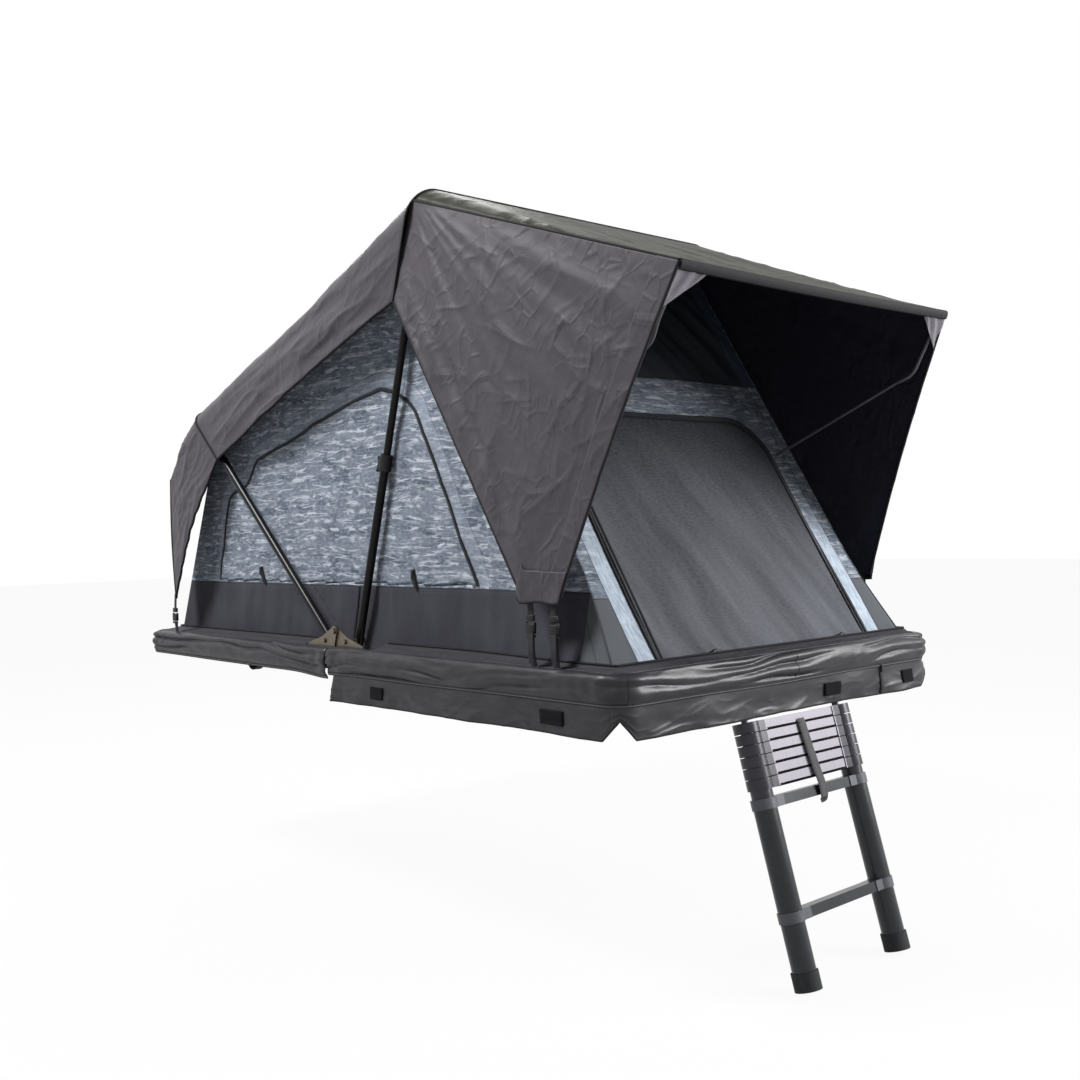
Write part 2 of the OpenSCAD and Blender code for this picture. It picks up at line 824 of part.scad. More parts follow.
module fixed_hinge_leaves() {
    color(zinc)
        fixed_half()
            both_sides()
                hinge_leaf(leaf_inset);
}

module fixed_leaf_bolts() {
    color(zinc)
        fixed_half()
            leaf_bolts();
}

module hinge_pins() {
    inner = fold_leaf_in + leaf_t + clear;
    color(zinc)
        both_sides() {
            cross_pin(0, hinge_z, leaf_inset - head_h, leaf_inset - clear, 1.6 * hinge_pin_d, 6);
            cross_pin(0, hinge_z, leaf_inset - clear, inner, hinge_pin_d);
            cross_pin(0, hinge_z, inner, inner + nut_h, 1.6 * hinge_pin_d, 6);
        }
}

module rear_pivot_bolts() {
    color(zinc)
        both_sides()
            bow_bolt(-pivot_x, leaf_inset, rear_in);
}

// Webbing loop under the near side of the fixed half
module carry_handle() {
    handle_r = 35;
    color(black)
        translate([-handle_x, -half_w + flange_w / 2 - strap_w / 2, -base_h])
            rotate([-90, 0, 0])
                difference() {
                    cylinder(r = handle_r, h = strap_w);
                    translate([0, 0, -eps])
                        cylinder(r = handle_r - strap_t, h = strap_w + 2 * eps);
                    translate([-2 * handle_r, -2 * handle_r, -eps])
                        cube([4 * handle_r, 2 * handle_r, strap_w + 2 * eps]);
                }
}

// Side of the tent body: its foot stands on the boards and steps over the lips at the hinge line
module side_outline() {
    foot = floor_z + clear;
    step = hinge_gap / 2 + lip_w + clear;
    polygon([[rear_foot, foot], [-step, foot], [-step, clear], [step, clear], [step, foot], [door_foot, foot],
        ridge_top, rear_top]);
}

// Points of a fillet at corner p between its neighbours
function fillet(a, p, b, r, steps = 6) = let (
    u = (a - p) / norm(a - p),
    v = (b - p) / norm(b - p),
    half = acos(u * v) / 2,
    c = p + (u + v) / norm(u + v) * r / sin(half),
    from = atan2((p + u * r / tan(half) - c)[1], (p + u * r / tan(half) - c)[0]),
    to = atan2((p + v * r / tan(half) - c)[1], (p + v * r / tan(half) - c)[0]),
    turn = to - from > 180 ? to - from - 360 : to - from < -180 ? to - from + 360 : to - from
) [for (i = [0 : steps]) c + r * [cos(from + turn * i / steps), sin(from + turn * i / steps)]];

// Window shape on the side wall: a level foot, and a head that rises with the roof
module window_outline(inset) {
    a = [-window_rear + inset, window_z + inset];
    b = [window_front - inset, window_z + inset];
    c = [window_front - window_slant - inset, window_high - inset];
    d = [-window_rear + inset, window_low - inset];
    polygon(concat([a, b], fillet(b, c, d, window_r), fillet(c, d, a, window_r)));
}

module side_plate() {
    both_sides()
        translate([0, wall_y, 0])
            rotate([90, 0, 0])
                linear_extrude(cloth_t)
                    children();
}

module side_walls() {
    color(cloth)
        side_plate()
            difference() {
                side_outline();
                window_outline(0);
            }
}

module window_panels() {
    color("#62728a")
        side_plate()
            window_outline(clear);
}

// End wall in its own plane: Y across, then up the slope from the foot
module end_plane(foot, slope) {
    translate([foot, 0, floor_z + clear + cloth_t * abs(cos(slope))])
        rotate([0, 90 - slope, 0])
            rotate([90, 0, 90])
                children();
}

module end_outline(length) {
    w = wall_y - cloth_t - clear;
    translate([-w, 0])
        square([2 * w, length]);
    translate([-w + shoulder_r, 0])
        square([2 * (w - shoulder_r), length + shoulder_r - cloth_t]);
    for (side = [-1, 1])
        translate([side * (w - shoulder_r), length])
            circle(shoulder_r - cloth_t);
}

module rear_wall() {
    color(cloth)
        end_plane(rear_foot + cloth_t, rear_slope)
            linear_extrude(cloth_t)
                end_outline(rear_wall_len - 10);
}

module door_outline(inset) {
    w = door_w / 2 - inset;
    sill = 30 + inset;
    r = door_r - inset;
    translate([-w, sill])
        square([2 * w, door_h - r - sill]);
    translate([-w + r, sill])
        square([2 * (w - r), door_h - inset - sill]);
    for (side = [-1, 1])
        translate([side * (w - r), door_h - r - inset])
            circle(r);
}

// Door wall with its opening and the two slits for the struts
module door_wall() {
    slit_w = 24;
    slit_h = 60;
    color(cloth)
        end_plane(door_foot - cloth_t, door_slope)
            translate([0, 0, -cloth_t])
                linear_extrude(cloth_t)
                    difference() {
                        end_outline(door_len - 10);
                        door_outline(0);
                        for (side = [-1, 1])
                            translate([side * (door_bow_y + strut_off + 3), door_up + strut_at])
                                square([slit_w, slit_h], center = true);
                    }
}

module mesh_door() {
    color("#2e3036")
        end_plane(door_foot - cloth_t, door_slope)
            translate([0, 0, -cloth_t])
                linear_extrude(cloth_t)
                    door_outline(clear);
}

// Canopy sheets run from the rear bar (t = 0) to the ridge bar (t = 1), and are placed by their
// distance down the bows' legs from the bars
rear_bar = [-rear_x, rear_z];
ridge_bar_at = [ridge_x, ridge_z];
rear_down = -[cos(rear_angle), sin(rear_angle)];
ridge_down = -[cos(ridge_angle), sin(ridge_angle)];
roof_cols = 20;
roof_rows = 6;

function legs_down(t) = rear_down * (1 - t) + ridge_down * t;
function under_bars(t, down) = rear_bar * (1 - t) + ridge_bar_at * t + legs_down(t) * down;

// Height of a rounded shoulder: level over the flat, then round to the side
function shoulder(y, r, flat) =
    abs(y) <= flat ? r : sqrt(max(pow(r, 2) - pow(abs(y) - flat, 2), 0));

// Across the roof: even steps over the flat, finer steps round each shoulder
function roof_y(j, flat, r) = let (
    bend = 5,
    k = abs(j - roof_cols / 2),
    s = sign(j - roof_cols / 2)
) k <= roof_cols / 2 - bend
    ? s * k / (roof_cols / 2 - bend) * flat
    : s * (flat + r * sin(90 * (k - roof_cols / 2 + bend) / bend));

// Roof of the tent body, under the bars, its shoulders bent down to the side walls
module roof_panel() {
    r = shoulder_r;
    flat = wall_y - r;
    function place(i, j) = let (
        t = i / roof_rows,
        y = roof_y(j, flat, r),
        p = under_bars(t, bend_r - shoulder(y, r, flat))
    ) [p[0], y, p[1] + clear];
    low = [for (i = [0 : roof_rows]) [for (j = [0 : roof_cols]) place(i, j)]];
    function up(i) = -legs_down(i / roof_rows) * cloth_t / 2;
    color(cloth)
        sheet_solid(low, [for (i = [0 : roof_rows]) [for (p = low[i]) p + [up(i)[0], 0, up(i)[1]]]]);
}

// Fly over the bars: its shoulders clear the corner sleeves, then it hangs to the hem
fly_r = bend_r + sleeve_t + bow_d / 2 + 5;
fly_flat = rear_y - bend_r;
fly_y = fly_flat + fly_r;
hang = 4;
fly_cols = roof_cols + 2 * hang;

function hanging(k) = max(hang - k, k - roof_cols - hang, 0) / hang;
function fly_row_y(k) = hanging(k) > 0
    ? sign(k - fly_cols / 2) * fly_y
    : roof_y(k - hang, fly_flat, fly_r);
function fly_down(k, hem) = hanging(k) > 0
    ? bend_r + (hem - bend_r) * hanging(k)
    : bend_r - shoulder(fly_row_y(k), fly_r, fly_flat);
function fly_point(t, k) = let (
    hem = hem_rear * (1 - t) + hem_ridge * t,
    p = under_bars(t, fly_down(k, hem)),
    sag = hanging(k) > 0 ? 0 : roof_sag * sin(180 * t)
) [p[0], fly_row_y(k), p[1] - sag];
function fly_out(t, k) = let (
    reach = (abs(fly_row_y(k)) - fly_flat) / fly_r,
    a = sign(fly_row_y(k)) * asin(min(max(reach, 0), 1)),
    up = -legs_down(t)
) cloth_t * [up[0] * cos(a), sin(a), up[1] * cos(a)];

module roof_fly() {
    low = [for (i = [0 : roof_rows]) [for (k = [0 : fly_cols]) fly_point(i / roof_rows, k)]];
    color(fly_cloth)
        sheet_solid(low, [for (i = [0 : roof_rows]) [for (k = [0 : fly_cols])
            low[i][k] + fly_out(i / roof_rows, k)]]);
}

// Rear fall of the fly: a short drop behind the rear bow, its sides run down to the ties
module rear_fly() {
    rows = 6;
    seam = [-clear - 0.2, 0, -clear];
    function foot(k) = let (
        side = hanging(k),
        y = fly_row_y(k) + sign(k - fly_cols / 2) * 8 * side
    ) [-rear_hem_x + (rear_hem_x - rear_tie_x) * side, y, rear_hem_z + (rear_tie_z - rear_hem_z) * side];
    function place(i, k) = let (
        t = i / rows,
        top = fly_point(0, k) + seam,
        billow = 16 * sin(180 * t)
    ) top * (1 - t) + foot(k) * t + billow * [-0.7 * (1 - hanging(k)), sign(fly_row_y(k)) * hanging(k), 0];
    low = [for (i = [0 : rows]) [for (k = [0 : fly_cols]) place(i, k)]];
    function out(k) = hanging(k) > 0 ? [0, sign(k - fly_cols / 2) * cloth_t, 0] : [-cloth_t, 0, 0];
    color(fly_cloth)
        sheet_solid([for (row = low) [for (k = [0 : fly_cols]) row[k] + out(k)]], low);
}

// Seam between the awning's top and its side, from the ridge corner to the front corner
seam_turn = 55;
seam_y = fly_flat + fly_r * sin(seam_turn);
seam_gap = cloth_t * cos(ridge_angle) + clear;
seam_at = under_bars(1, bend_r - fly_r * cos(seam_turn)) + [seam_gap, 0];

// Awning's top sheet, from the ridge to the front edge, sagging between
module awning_top() {
    rows = 10;
    cols = 14;
    function place(i, j) = let (
        t = i / rows,
        v = 2 * j / cols - 1,
        y0 = v * seam_y,
        p = under_bars(1, bend_r - shoulder(y0, fly_r, fly_flat)) + [seam_gap, 0],
        sag = awning_sag * sin(180 * t) * (1 - v * v)
    ) [p[0] + (awning_x - p[0]) * t, y0 * (1 - t) + v * awning_y * t, p[1] * (1 - t) + awning_z * t - sag];
    color(fly_cloth)
        cloth_sheet([for (i = [0 : rows]) [for (j = [0 : cols]) place(i, j)]], [0, 0, cloth_t]);
}

// Side panels of the awning, drawn in to a narrow lower edge that is tied down
module awning_sides() {
    rows = 14;
    cols = 10;
    knee = 0.8;
    gap = clear + 0.2;
    corner = under_bars(1, hem_ridge) + [gap + 0.5, 0];
    function seam(t) = [seam_at[0] + (awning_x - seam_at[0]) * t, seam_y + (awning_y - seam_y) * t + gap,
        seam_at[1] + (awning_z - seam_at[1]) * t];
    function lower(t) = let (
        q = t < knee ? t / knee : 1,
        w = t < knee ? 0 : (t - knee) / (1 - knee),
        from = [corner[0], fly_y + gap, corner[1]],
        to = [tie_x - tie_w / 2, fly_y + tie_out, tie_z]
    ) from + (to - from) * q + [tie_w * w, 0, 0];
    function place(i, j) = let (
        t = i / rows,
        q = j / cols,
        billow = billow_a * sin(180 * t) * sin(180 * q)
    ) seam(t) * (1 - q) + lower(t) * q + [front_bow * t * sin(180 * q), billow, 0];
    color(fly_cloth)
        both_sides()
            cloth_sheet([for (i = [0 : rows]) [for (j = [0 : cols]) place(i, j)]], [0, cloth_t, 0]);
}

// Webbing with a release buckle, from a fly corner down to the base
module tie(x, y, top, lean_y) {
    foot = clear;
    buckle_w = strap_w + 10;
    buckle_h = 48;
    length = norm([top - foot, lean_y]);
    translate([x, y, foot])
        rotate([atan2(lean_y, top - foot), 0, 0]) {
            translate([-strap_w / 2, 0, 0])
                cube([strap_w, strap_t, length * 0.62]);
            difference() {
                translate([-buckle_w / 2, -4, length * 0.62])
                    cube([buckle_w, strap_t + 8, buckle_h]);
                for (side = [-1, 1])
                    translate([side * (buckle_w / 2), -4 - eps, length * 0.62 + buckle_h * 0.55])
                        rotate([-90, 0, 0])
                            cylinder(d = 10, h = strap_t + 10);
            }
            translate([-strap_w / 2, 0, length * 0.62 + buckle_h])
                cube([strap_w, strap_t, max(length * 0.38 - buckle_h, 5)]);
        }
}

module rear_ties() {
    color(black)
        both_sides()
            tie(-rear_tie_x, half_w - 8, rear_tie_z - 2.6, 0);
}

module front_ties() {
    color(black)
        both_sides()
            for (side = [-1, 1])
                tie(tie_x + side * tie_w * 0.3, half_w - 12, tie_z + 18, -8);
}

module fold_frame() {
    color(alloy)
        base_channel();
}

module fold_crossbars() {
    color(alloy)
        crossbars();
}

module fold_floor() {
    color("gainsboro")
        floor_board();
}

module fold_mattress() {
    color("dimgray")
        mattress(hinge_gap + 2, door_pivot[0] - 24);
}

module fold_band() {
    color(charcoal)
        cover_band();
}

module skirt() {
    color(charcoal)
        skirt_cloth();
}

module fold_hinge_leaves() {
    color(zinc)
        both_sides()
            hinge_leaf(fold_leaf_in);
}

module fold_leaf_bolts() {
    color(zinc)
        leaf_bolts();
}

module ridge_pivot_bolts() {
    color(zinc)
        both_sides()
            bow_bolt(pivot_x, fold_leaf_in, ridge_in_y);
}

module door_brackets() {
    color(zinc)
        both_sides()
            door_bracket();
}

// Ladder bracket under the end of the fold-out half: a foot plate and two cheeks
hook_t = 6;
hook_w = 18;
ladder_pin_d = 10;

module ladder_bracket() {
    cheek_t = 5;
    inner = hook_t / 2 + clear;
    foot_w = 46;
    foot_x = half_l - frame_t - foot_w;
    difference() {
        union() {
            translate([foot_x, stile_w / 2 - inner - cheek_t, -base_h - cheek_t])
                cube([foot_w, 2 * (inner + cheek_t), cheek_t]);
            for (side = [-1, 1])
                translate([0, stile_w / 2 + side * (inner + cheek_t / 2), 0])
                    rotate([90, 0, 0])
                        linear_extrude(cheek_t, center = true) {
                            translate(ladder_pivot)
                                circle(d = 26);
                            polygon([[foot_x, -base_h], [foot_x + foot_w, -base_h],
                                ladder_pivot + [13, 0], ladder_pivot + [-13, 0]]);
                        }
        }
        translate([ladder_pivot[0], 0, ladder_pivot[1]])
            rotate([-90, 0, 0])
                cylinder(d = ladder_pin_d + 2 * fit, h = base_w / 2);
    }
}

module ladder_brackets() {
    color(zinc)
        both_sides()
            ladder_bracket();
}

module ladder_pins() {
    length = hook_t + 2 * clear + 10 + 6;
    color(zinc)
        both_sides()
            translate([ladder_pivot[0], stile_w / 2, ladder_pivot[1]])
                rotate([90, 0, 0])
                    cylinder(d = ladder_pin_d, h = length, center = true);
}

module rear_bow_legs() {
    color(black)
        rear_frame()
            bow_legs(rear_y, -foot_ext, rear_len - bend_r, bow_d, pivot_d);
}

module rear_bow_corners() {
    color(black)
        rear_frame()
            bow_corners(rear_y, rear_len, bow_d);
}

module rear_bow_bar() {
    color(black)
        rear_frame()
            bow_bar(rear_y, rear_len, bow_d);
}

module ridge_lower_legs() {
    color(black)
        ridge_frame()
            bow_legs(ridge_y, -foot_ext, ridge_low_l, bow_d, pivot_d);
}

module ridge_clamps() {
    color("#18181b")
        ridge_frame()
            both_sides()
                clamp_body();
}

module ridge_upper_legs() {
    color(black)
        ridge_frame()
            bow_legs(ridge_y, ridge_low_l - ridge_in, ridge_len - bend_r, upper_d);
}

module ridge_corners() {
    color(black)
        ridge_frame()
            bow_corners(ridge_y, ridge_len, upper_d);
}

module ridge_bar() {
    color(black)
        ridge_frame()
            bow_bar(ridge_y, ridge_len, upper_d);
}

module clamp_lever_far() {
    color("#101012")
        ridge_frame()
            clamp_lever();
}

module clamp_lever_near() {
    color("#101012")
        ridge_frame()
            mirror([0, 1, 0])
                clamp_lever();
}

module door_bow_legs() {
    color(black)
        door_frame() {
            bow_legs(door_bow_y, -12, door_bow_l - bend_r, door_bow_d, door_pin_d);
            both_sides()
                strut_ring();
        }
}

module door_bow_corners() {
    color(black)
        door_frame()
            bow_corners(door_bow_y, door_bow_l, door_bow_d);
}

module door_bow_bar() {
    color(black)
        door_frame()
            bow_bar(door_bow_y, door_bow_l, door_bow_d);
}

module strut_far() {
    color(black)
        door_frame()
            strut_rod();
}

module strut_near() {
    color(black)
        door_frame()
            mirror([0, 1, 0])
                strut_rod();
}

// Ladder frame: origin on the pivot, down the ladder along -Z, its front at +X
module ladder_frame() {
    translate([ladder_pivot[0], 0, ladder_pivot[1]])
        rotate([0, -lean, 0])
            children();
}

function section_s(i) = top_gap + (i - 1) * rung_pitch;
function section_d(i) = stile_d - (sections + 1 - i) * 2 * (stile_t + stile_gap);

module at_stile(s) {
    both_sides()
        translate([0, stile_w / 2, -s])
            children();
}

// Hollow rung between the collars
module rung(s) {
    length = stile_w - stile_d - 4;
    wall = 2;
    translate([-rung_d / 2, -length / 2, -s - rung_h])
        difference() {
            cube([rung_d, length, rung_h]);
            translate([wall, -eps, wall])
                cube([rung_d - 2 * wall, length + 2 * eps, rung_h - 2 * wall]);
        }
}

// Collar of one rung: a ring round the tube with a socket that holds the rung's end
module collar(s, d) {
    socket = 22;
    wall = 2.5;
    at_stile(s)
        translate([0, 0, -rung_h])
            difference() {
                union() {
                    cylinder(d = stile_d + 6, h = rung_h);
                    translate([-rung_d / 2 - wall, -stile_d / 2 - socket, 0])
                        cube([rung_d + 2 * wall, stile_d / 2 + socket, rung_h]);
                }
                translate([0, 0, -eps])
                    cylinder(d = d + 2 * fit, h = rung_h + 2 * eps);
                translate([-rung_d / 2 - fit, -stile_d / 2 - socket - eps, -eps])
                    cube([rung_d + 2 * fit, socket - 2 + eps + fit, rung_h + 2 * eps]);
            }
}

module ladder_section(i) {
    color("#9a97a3")
        ladder_frame() {
            at_stile(section_s(i) + stile_l)
                tube(section_d(i), stile_t, stile_l);
            rung(section_s(i));
            if (i == 1)
                ladder_hooks();
        }
    color(black)
        ladder_frame()
            collar(section_s(i), section_d(i));
}

// Hook plates at the head of the top section, turning on the bracket pins
module ladder_hooks() {
    plug_d = section_d(1) - 2 * stile_t - 2 * fit;
    at_stile(0)
        difference() {
            union() {
                rotate([90, 0, 0])
                    linear_extrude(hook_t, center = true) {
                        circle(d = hook_w);
                        translate([-hook_w / 2, -top_gap])
                            square([hook_w, top_gap]);
                    }
                translate([0, 0, -top_gap - 30])
                    cylinder(d = plug_d, h = 30);
            }
            rotate([90, 0, 0])
                cylinder(d = ladder_pin_d + 2 * fit, h = 2 * hook_t, center = true);
        }
}

module ladder_section_1() { ladder_section(1); }
module ladder_section_2() { ladder_section(2); }
module ladder_section_3() { ladder_section(3); }
module ladder_section_4() { ladder_section(4); }
module ladder_section_5() { ladder_section(5); }
module ladder_section_6() { ladder_section(6); }

module ladder_bottom() {
    color("#4a4a50")
        ladder_frame() {
            at_stile(bottom_s + low_l)
                tube(stile_d, stile_t, low_l);
            rung(bottom_s);
            rung(bottom_s + low_rung);
        }
}

module ladder_collars() {
    color(black)
        ladder_frame() {
            collar(bottom_s, stile_d);
            collar(bottom_s + low_rung, stile_d);
        }
}

// Rubber foot: a cup over the tube's end
module ladder_feet() {
    cup = 4;
    sole = 8;
    color("#151515")
        ladder_frame()
            at_stile(bottom_s + low_l + sole)
                difference() {
                    cylinder(d = stile_d + 2 * cup, h = foot_h);
                    translate([0, 0, sole])
                        cylinder(d = stile_d + 2 * fit, h = foot_h);
                }
}

placed() rack_rails();
placed() rail_bolts();
placed() fixed_frame();
placed() fixed_crossbars();
placed() fixed_floor();
placed() fixed_mattress();
placed() fixed_band();
placed() fixed_hinge_leaves();
placed() fixed_leaf_bolts();
placed() hinge_pins();
placed() rear_pivot_bolts();
placed() carry_handle();
placed() side_walls();
placed() window_panels();
placed() rear_wall();
placed() rear_fly();
placed() rear_ties();
placed() fold_frame();
placed() fold_crossbars();
placed() fold_floor();
placed() fold_mattress();
placed() fold_band();
placed() skirt();
placed() fold_hinge_leaves();
placed() fold_leaf_bolts();
placed() ridge_pivot_bolts();
placed() door_brackets();
placed() door_wall();
placed() mesh_door();
placed() awning_top();
placed() awning_sides();
placed() front_ties();
placed() ladder_brackets();
placed() ladder_pins();
placed() rear_bow_legs();
placed() rear_bow_corners();
placed() rear_bow_bar();
placed() roof_panel();
placed() roof_fly();
placed() ridge_lower_legs();
placed() ridge_clamps();
placed() ridge_upper_legs();
placed() ridge_corners();
placed() ridge_bar();
placed() clamp_lever_near();
placed() clamp_lever_far();
placed() door_bow_legs();
placed() door_bow_corners();
placed() door_bow_bar();
placed() strut_near();
placed() strut_far();
placed() ladder_section_1();
placed() ladder_section_2();
placed() ladder_section_3();
placed() ladder_section_4();
placed() ladder_section_5();
placed() ladder_section_6();
placed() ladder_bottom();
placed() ladder_collars();
placed() ladder_feet();
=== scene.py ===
import math
import bpy
import bmesh
import numpy as np
from mathutils import Matrix, Vector


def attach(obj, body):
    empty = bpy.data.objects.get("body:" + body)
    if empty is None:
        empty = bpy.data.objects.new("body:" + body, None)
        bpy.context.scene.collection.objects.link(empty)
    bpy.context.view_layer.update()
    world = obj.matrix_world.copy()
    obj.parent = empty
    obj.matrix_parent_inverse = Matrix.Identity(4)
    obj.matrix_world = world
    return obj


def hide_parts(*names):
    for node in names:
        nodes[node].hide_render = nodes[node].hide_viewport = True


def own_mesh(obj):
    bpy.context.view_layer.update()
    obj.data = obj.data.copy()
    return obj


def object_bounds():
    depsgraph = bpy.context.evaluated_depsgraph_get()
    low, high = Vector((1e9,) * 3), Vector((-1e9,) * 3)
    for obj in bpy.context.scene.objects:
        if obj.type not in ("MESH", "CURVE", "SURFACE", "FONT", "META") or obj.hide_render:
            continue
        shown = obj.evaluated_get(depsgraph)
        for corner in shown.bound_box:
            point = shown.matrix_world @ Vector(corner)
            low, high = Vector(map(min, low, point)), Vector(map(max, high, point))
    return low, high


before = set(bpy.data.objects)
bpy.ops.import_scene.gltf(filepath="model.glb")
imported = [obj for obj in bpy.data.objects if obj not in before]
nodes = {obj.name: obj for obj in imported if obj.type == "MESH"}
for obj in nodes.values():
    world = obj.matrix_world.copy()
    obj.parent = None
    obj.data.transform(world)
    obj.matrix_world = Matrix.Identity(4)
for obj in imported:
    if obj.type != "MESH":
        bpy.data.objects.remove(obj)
cadBox = [list(corner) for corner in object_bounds()]
print("frame loaded,", len(nodes), "nodes")

# Measures shared by the pieces, in metres from the hinge line on the deck: (along, up) for points
tent = {
    "shift": (0.59, 0.0, 0.08),        # hinge line on the deck, in the row frame
    "halfLength": 1.18,
    "halfWidth": 0.65,
    "rearBar": (-0.874, 0.775),
    "ridgeBar": (0.423, 1.259),
    "rearPivot": (-0.05, 0.03),
    "ridgePivot": (0.05, 0.03),
    "bendR": 0.07,
    "flyR": 0.0905,
    "flyFlat": 0.5405,
    "wallFoot": 1.13,
    "doorSlope": 121.326,
    "bandTop": 0.19,                   # top of the charcoal lower band
    "flatZ": 0.0445,                   # height that the cloth folds down to, just over the mattress
    "flatMiddle": 0.6,                 # middle of each half, from the hinge line
    "midZ": 0.0725,                    # height of the folded cloth between the bows, over the folded bows
    "rearClose": 40.57,                # turn of the rear bow from open to shut, in degrees
    "flatKeep": 0.002,                 # share of its height that folded cloth keeps
}


def unit(degrees):
    return np.array([math.cos(math.radians(degrees)), math.sin(math.radians(degrees))])


rearBar, ridgeBar = np.array(tent["rearBar"]), np.array(tent["ridgeBar"])
rearUp = (rearBar - tent["rearPivot"]) / np.linalg.norm(rearBar - tent["rearPivot"])
ridgeUp = (ridgeBar - tent["ridgePivot"]) / np.linalg.norm(ridgeBar - tent["ridgePivot"])
rearTop = rearBar - rearUp * tent["bendR"]
ridgeTop = ridgeBar - ridgeUp * tent["bendR"]
doorUp = unit(tent["doorSlope"])
doorOut = np.array([doorUp[1], -doorUp[0]])


def lifted(points):
    return np.asarray(points, float) + np.array(tent["shift"])


def rowPoint(x, y, z):
    return tuple(lifted((x, y, z)))


# Camera and stage
camera = {"place": (3.086, -2.62, 0.342), "azimuth": 47.58, "pitch": -0.45, "roll": -1.46, "lens": 40.81,
          "sensor": 36.0, "clipEnd": 200.0}


def placed(name, data):                # a new object in the scene
    item = bpy.data.objects.new(name, data)
    bpy.context.scene.collection.objects.link(item)
    return item


def addCamera():
    az, pitch, roll = (math.radians(camera[k]) for k in ("azimuth", "pitch", "roll"))
    ahead = Vector((-math.sin(az) * math.cos(pitch), math.cos(az) * math.cos(pitch), math.sin(pitch)))
    right = Vector((math.cos(az), math.sin(az), 0.0))
    up = right.cross(ahead)
    turnedRight = right * math.cos(roll) + up * math.sin(roll)
    turnedUp = up * math.cos(roll) - right * math.sin(roll)
    data = bpy.data.cameras.new("photoCamera")
    data.sensor_width = camera["sensor"]
    data.lens = camera["lens"]
    data.clip_end = camera["clipEnd"]
    item = placed("photoCamera", data)
    turn = Matrix((turnedRight, turnedUp, -ahead)).transposed()
    item.matrix_world = Matrix.Translation(rowPoint(*camera["place"])) @ turn.to_4x4()
    bpy.context.scene.camera = item


addCamera()
bpy.context.scene.view_settings.view_transform = "Standard"


class Wire:                            # a shader socket that takes part in plain maths
    def __init__(self, finish, socket):
        self.finish, self.socket = finish, socket

    def calc(self, operation, first, second=0.0, clamp=False):
        settings = {"operation": operation, "use_clamp": clamp}
        return self.finish.node("ShaderNodeMath", settings, {0: first, 1: second})

    def __add__(self, other):
        return self.calc("ADD", self, other)

    def __radd__(self, other):
        return self.calc("ADD", other, self)

    def __sub__(self, other):
        return self.calc("SUBTRACT", self, other)

    def __rsub__(self, other):
        return self.calc("SUBTRACT", other, self)

    def __mul__(self, other):
        return self.calc("MULTIPLY", self, other)

    def __rmul__(self, other):
        return self.calc("MULTIPLY", other, self)

    def __abs__(self):
        return self.calc("ABSOLUTE", self)

    def most(self, other):
        return self.calc("MAXIMUM", self, other)

    def wave(self):
        return self.calc("SINE", self)

    def ribs(self, pitch):             # a wave with its crests pitch metres apart
        return (self * (2 * math.pi / pitch)).wave()

    def above(self, edge, soft):       # 0 below the edge, 1 above it, soft metres wide
        return (self * (1.0 / soft)).shifted(0.5 - edge / soft)

    def shifted(self, amount):
        return self.calc("ADD", self, amount, clamp=True)


class Finish:                          # one material, or the world, built node by node
    def __init__(self, name, world=False):
        self.mat = (bpy.data.worlds if world else bpy.data.materials).new(name)
        self.mat.use_nodes = True
        self.tree = self.mat.node_tree
        self.bsdf = next(n for n in self.tree.nodes if n.type in ("BSDF_PRINCIPLED", "BACKGROUND"))

    def feed(self, socket, value):     # a link, or a value that is the same all over
        if isinstance(value, Wire):
            self.tree.links.new(value.socket, socket)
        else:
            socket.default_value = value

    def node(self, kind, settings=None, sockets=None, out=0):
        made = self.tree.nodes.new(kind)
        for key, value in (settings or {}).items():
            setattr(made, key, value)
        for key, value in (sockets or {}).items():
            self.feed(made.inputs[key], value)
        return Wire(self, made.outputs[out])

    def put(self, name, value):        # on the shader itself
        self.feed(self.bsdf.inputs[name], value)

    def place(self):
        return self.node("ShaderNodeTexCoord", None, None, "Object")

    def cut(self, name="cut"):         # the piece's own map: metres along, metres up
        return self.node("ShaderNodeUVMap", {"uv_map": name}, None, "UV")

    def split(self, vector):
        parts = self.node("ShaderNodeSeparateXYZ", None, {0: vector}).socket.node
        return [Wire(self, parts.outputs[i]) for i in range(3)]

    def spot(self, along, up, depth=0.0):
        return self.node("ShaderNodeCombineXYZ", None, {0: along, 1: up, 2: depth})

    def stretch(self, vector, scale):
        return self.node("ShaderNodeMapping", None, {"Vector": vector, "Scale": scale})

    def noise(self, vector, scale, detail=3.0, rough=0.5, warp=0.0):
        return self.node("ShaderNodeTexNoise", None, {"Vector": vector, "Scale": scale, "Detail": detail,
                                                      "Roughness": rough, "Distortion": warp}, "Fac")

    def grain(self, along, up, detail=3.0, rough=0.5, depth=0.0, warp=0.0):   # its own rate each way
        return self.noise(self.spot(along, up, depth), 1.0, detail, rough, warp)

    def mix(self, share, first, second):
        first, second = ((*c, 1.0) if isinstance(c, tuple) else c for c in (first, second))
        return self.node("ShaderNodeMix", {"data_type": "RGBA"}, {0: share, 6: first, 7: second}, 2)

    def bump(self, height, strength, depth):
        sockets = {"Height": height, "Strength": strength, "Distance": depth}
        self.put("Normal", self.node("ShaderNodeBump", None, sockets))

    def showInstead(self, share, shown):   # a second shader, mixed over the first
        sockets = {0: share, 1: Wire(self, self.bsdf.outputs[0]), 2: shown}
        mixed = self.node("ShaderNodeMixShader", None, sockets)
        output = next(n for n in self.tree.nodes if n.type.startswith("OUTPUT"))
        self.feed(output.inputs["Surface"], mixed)


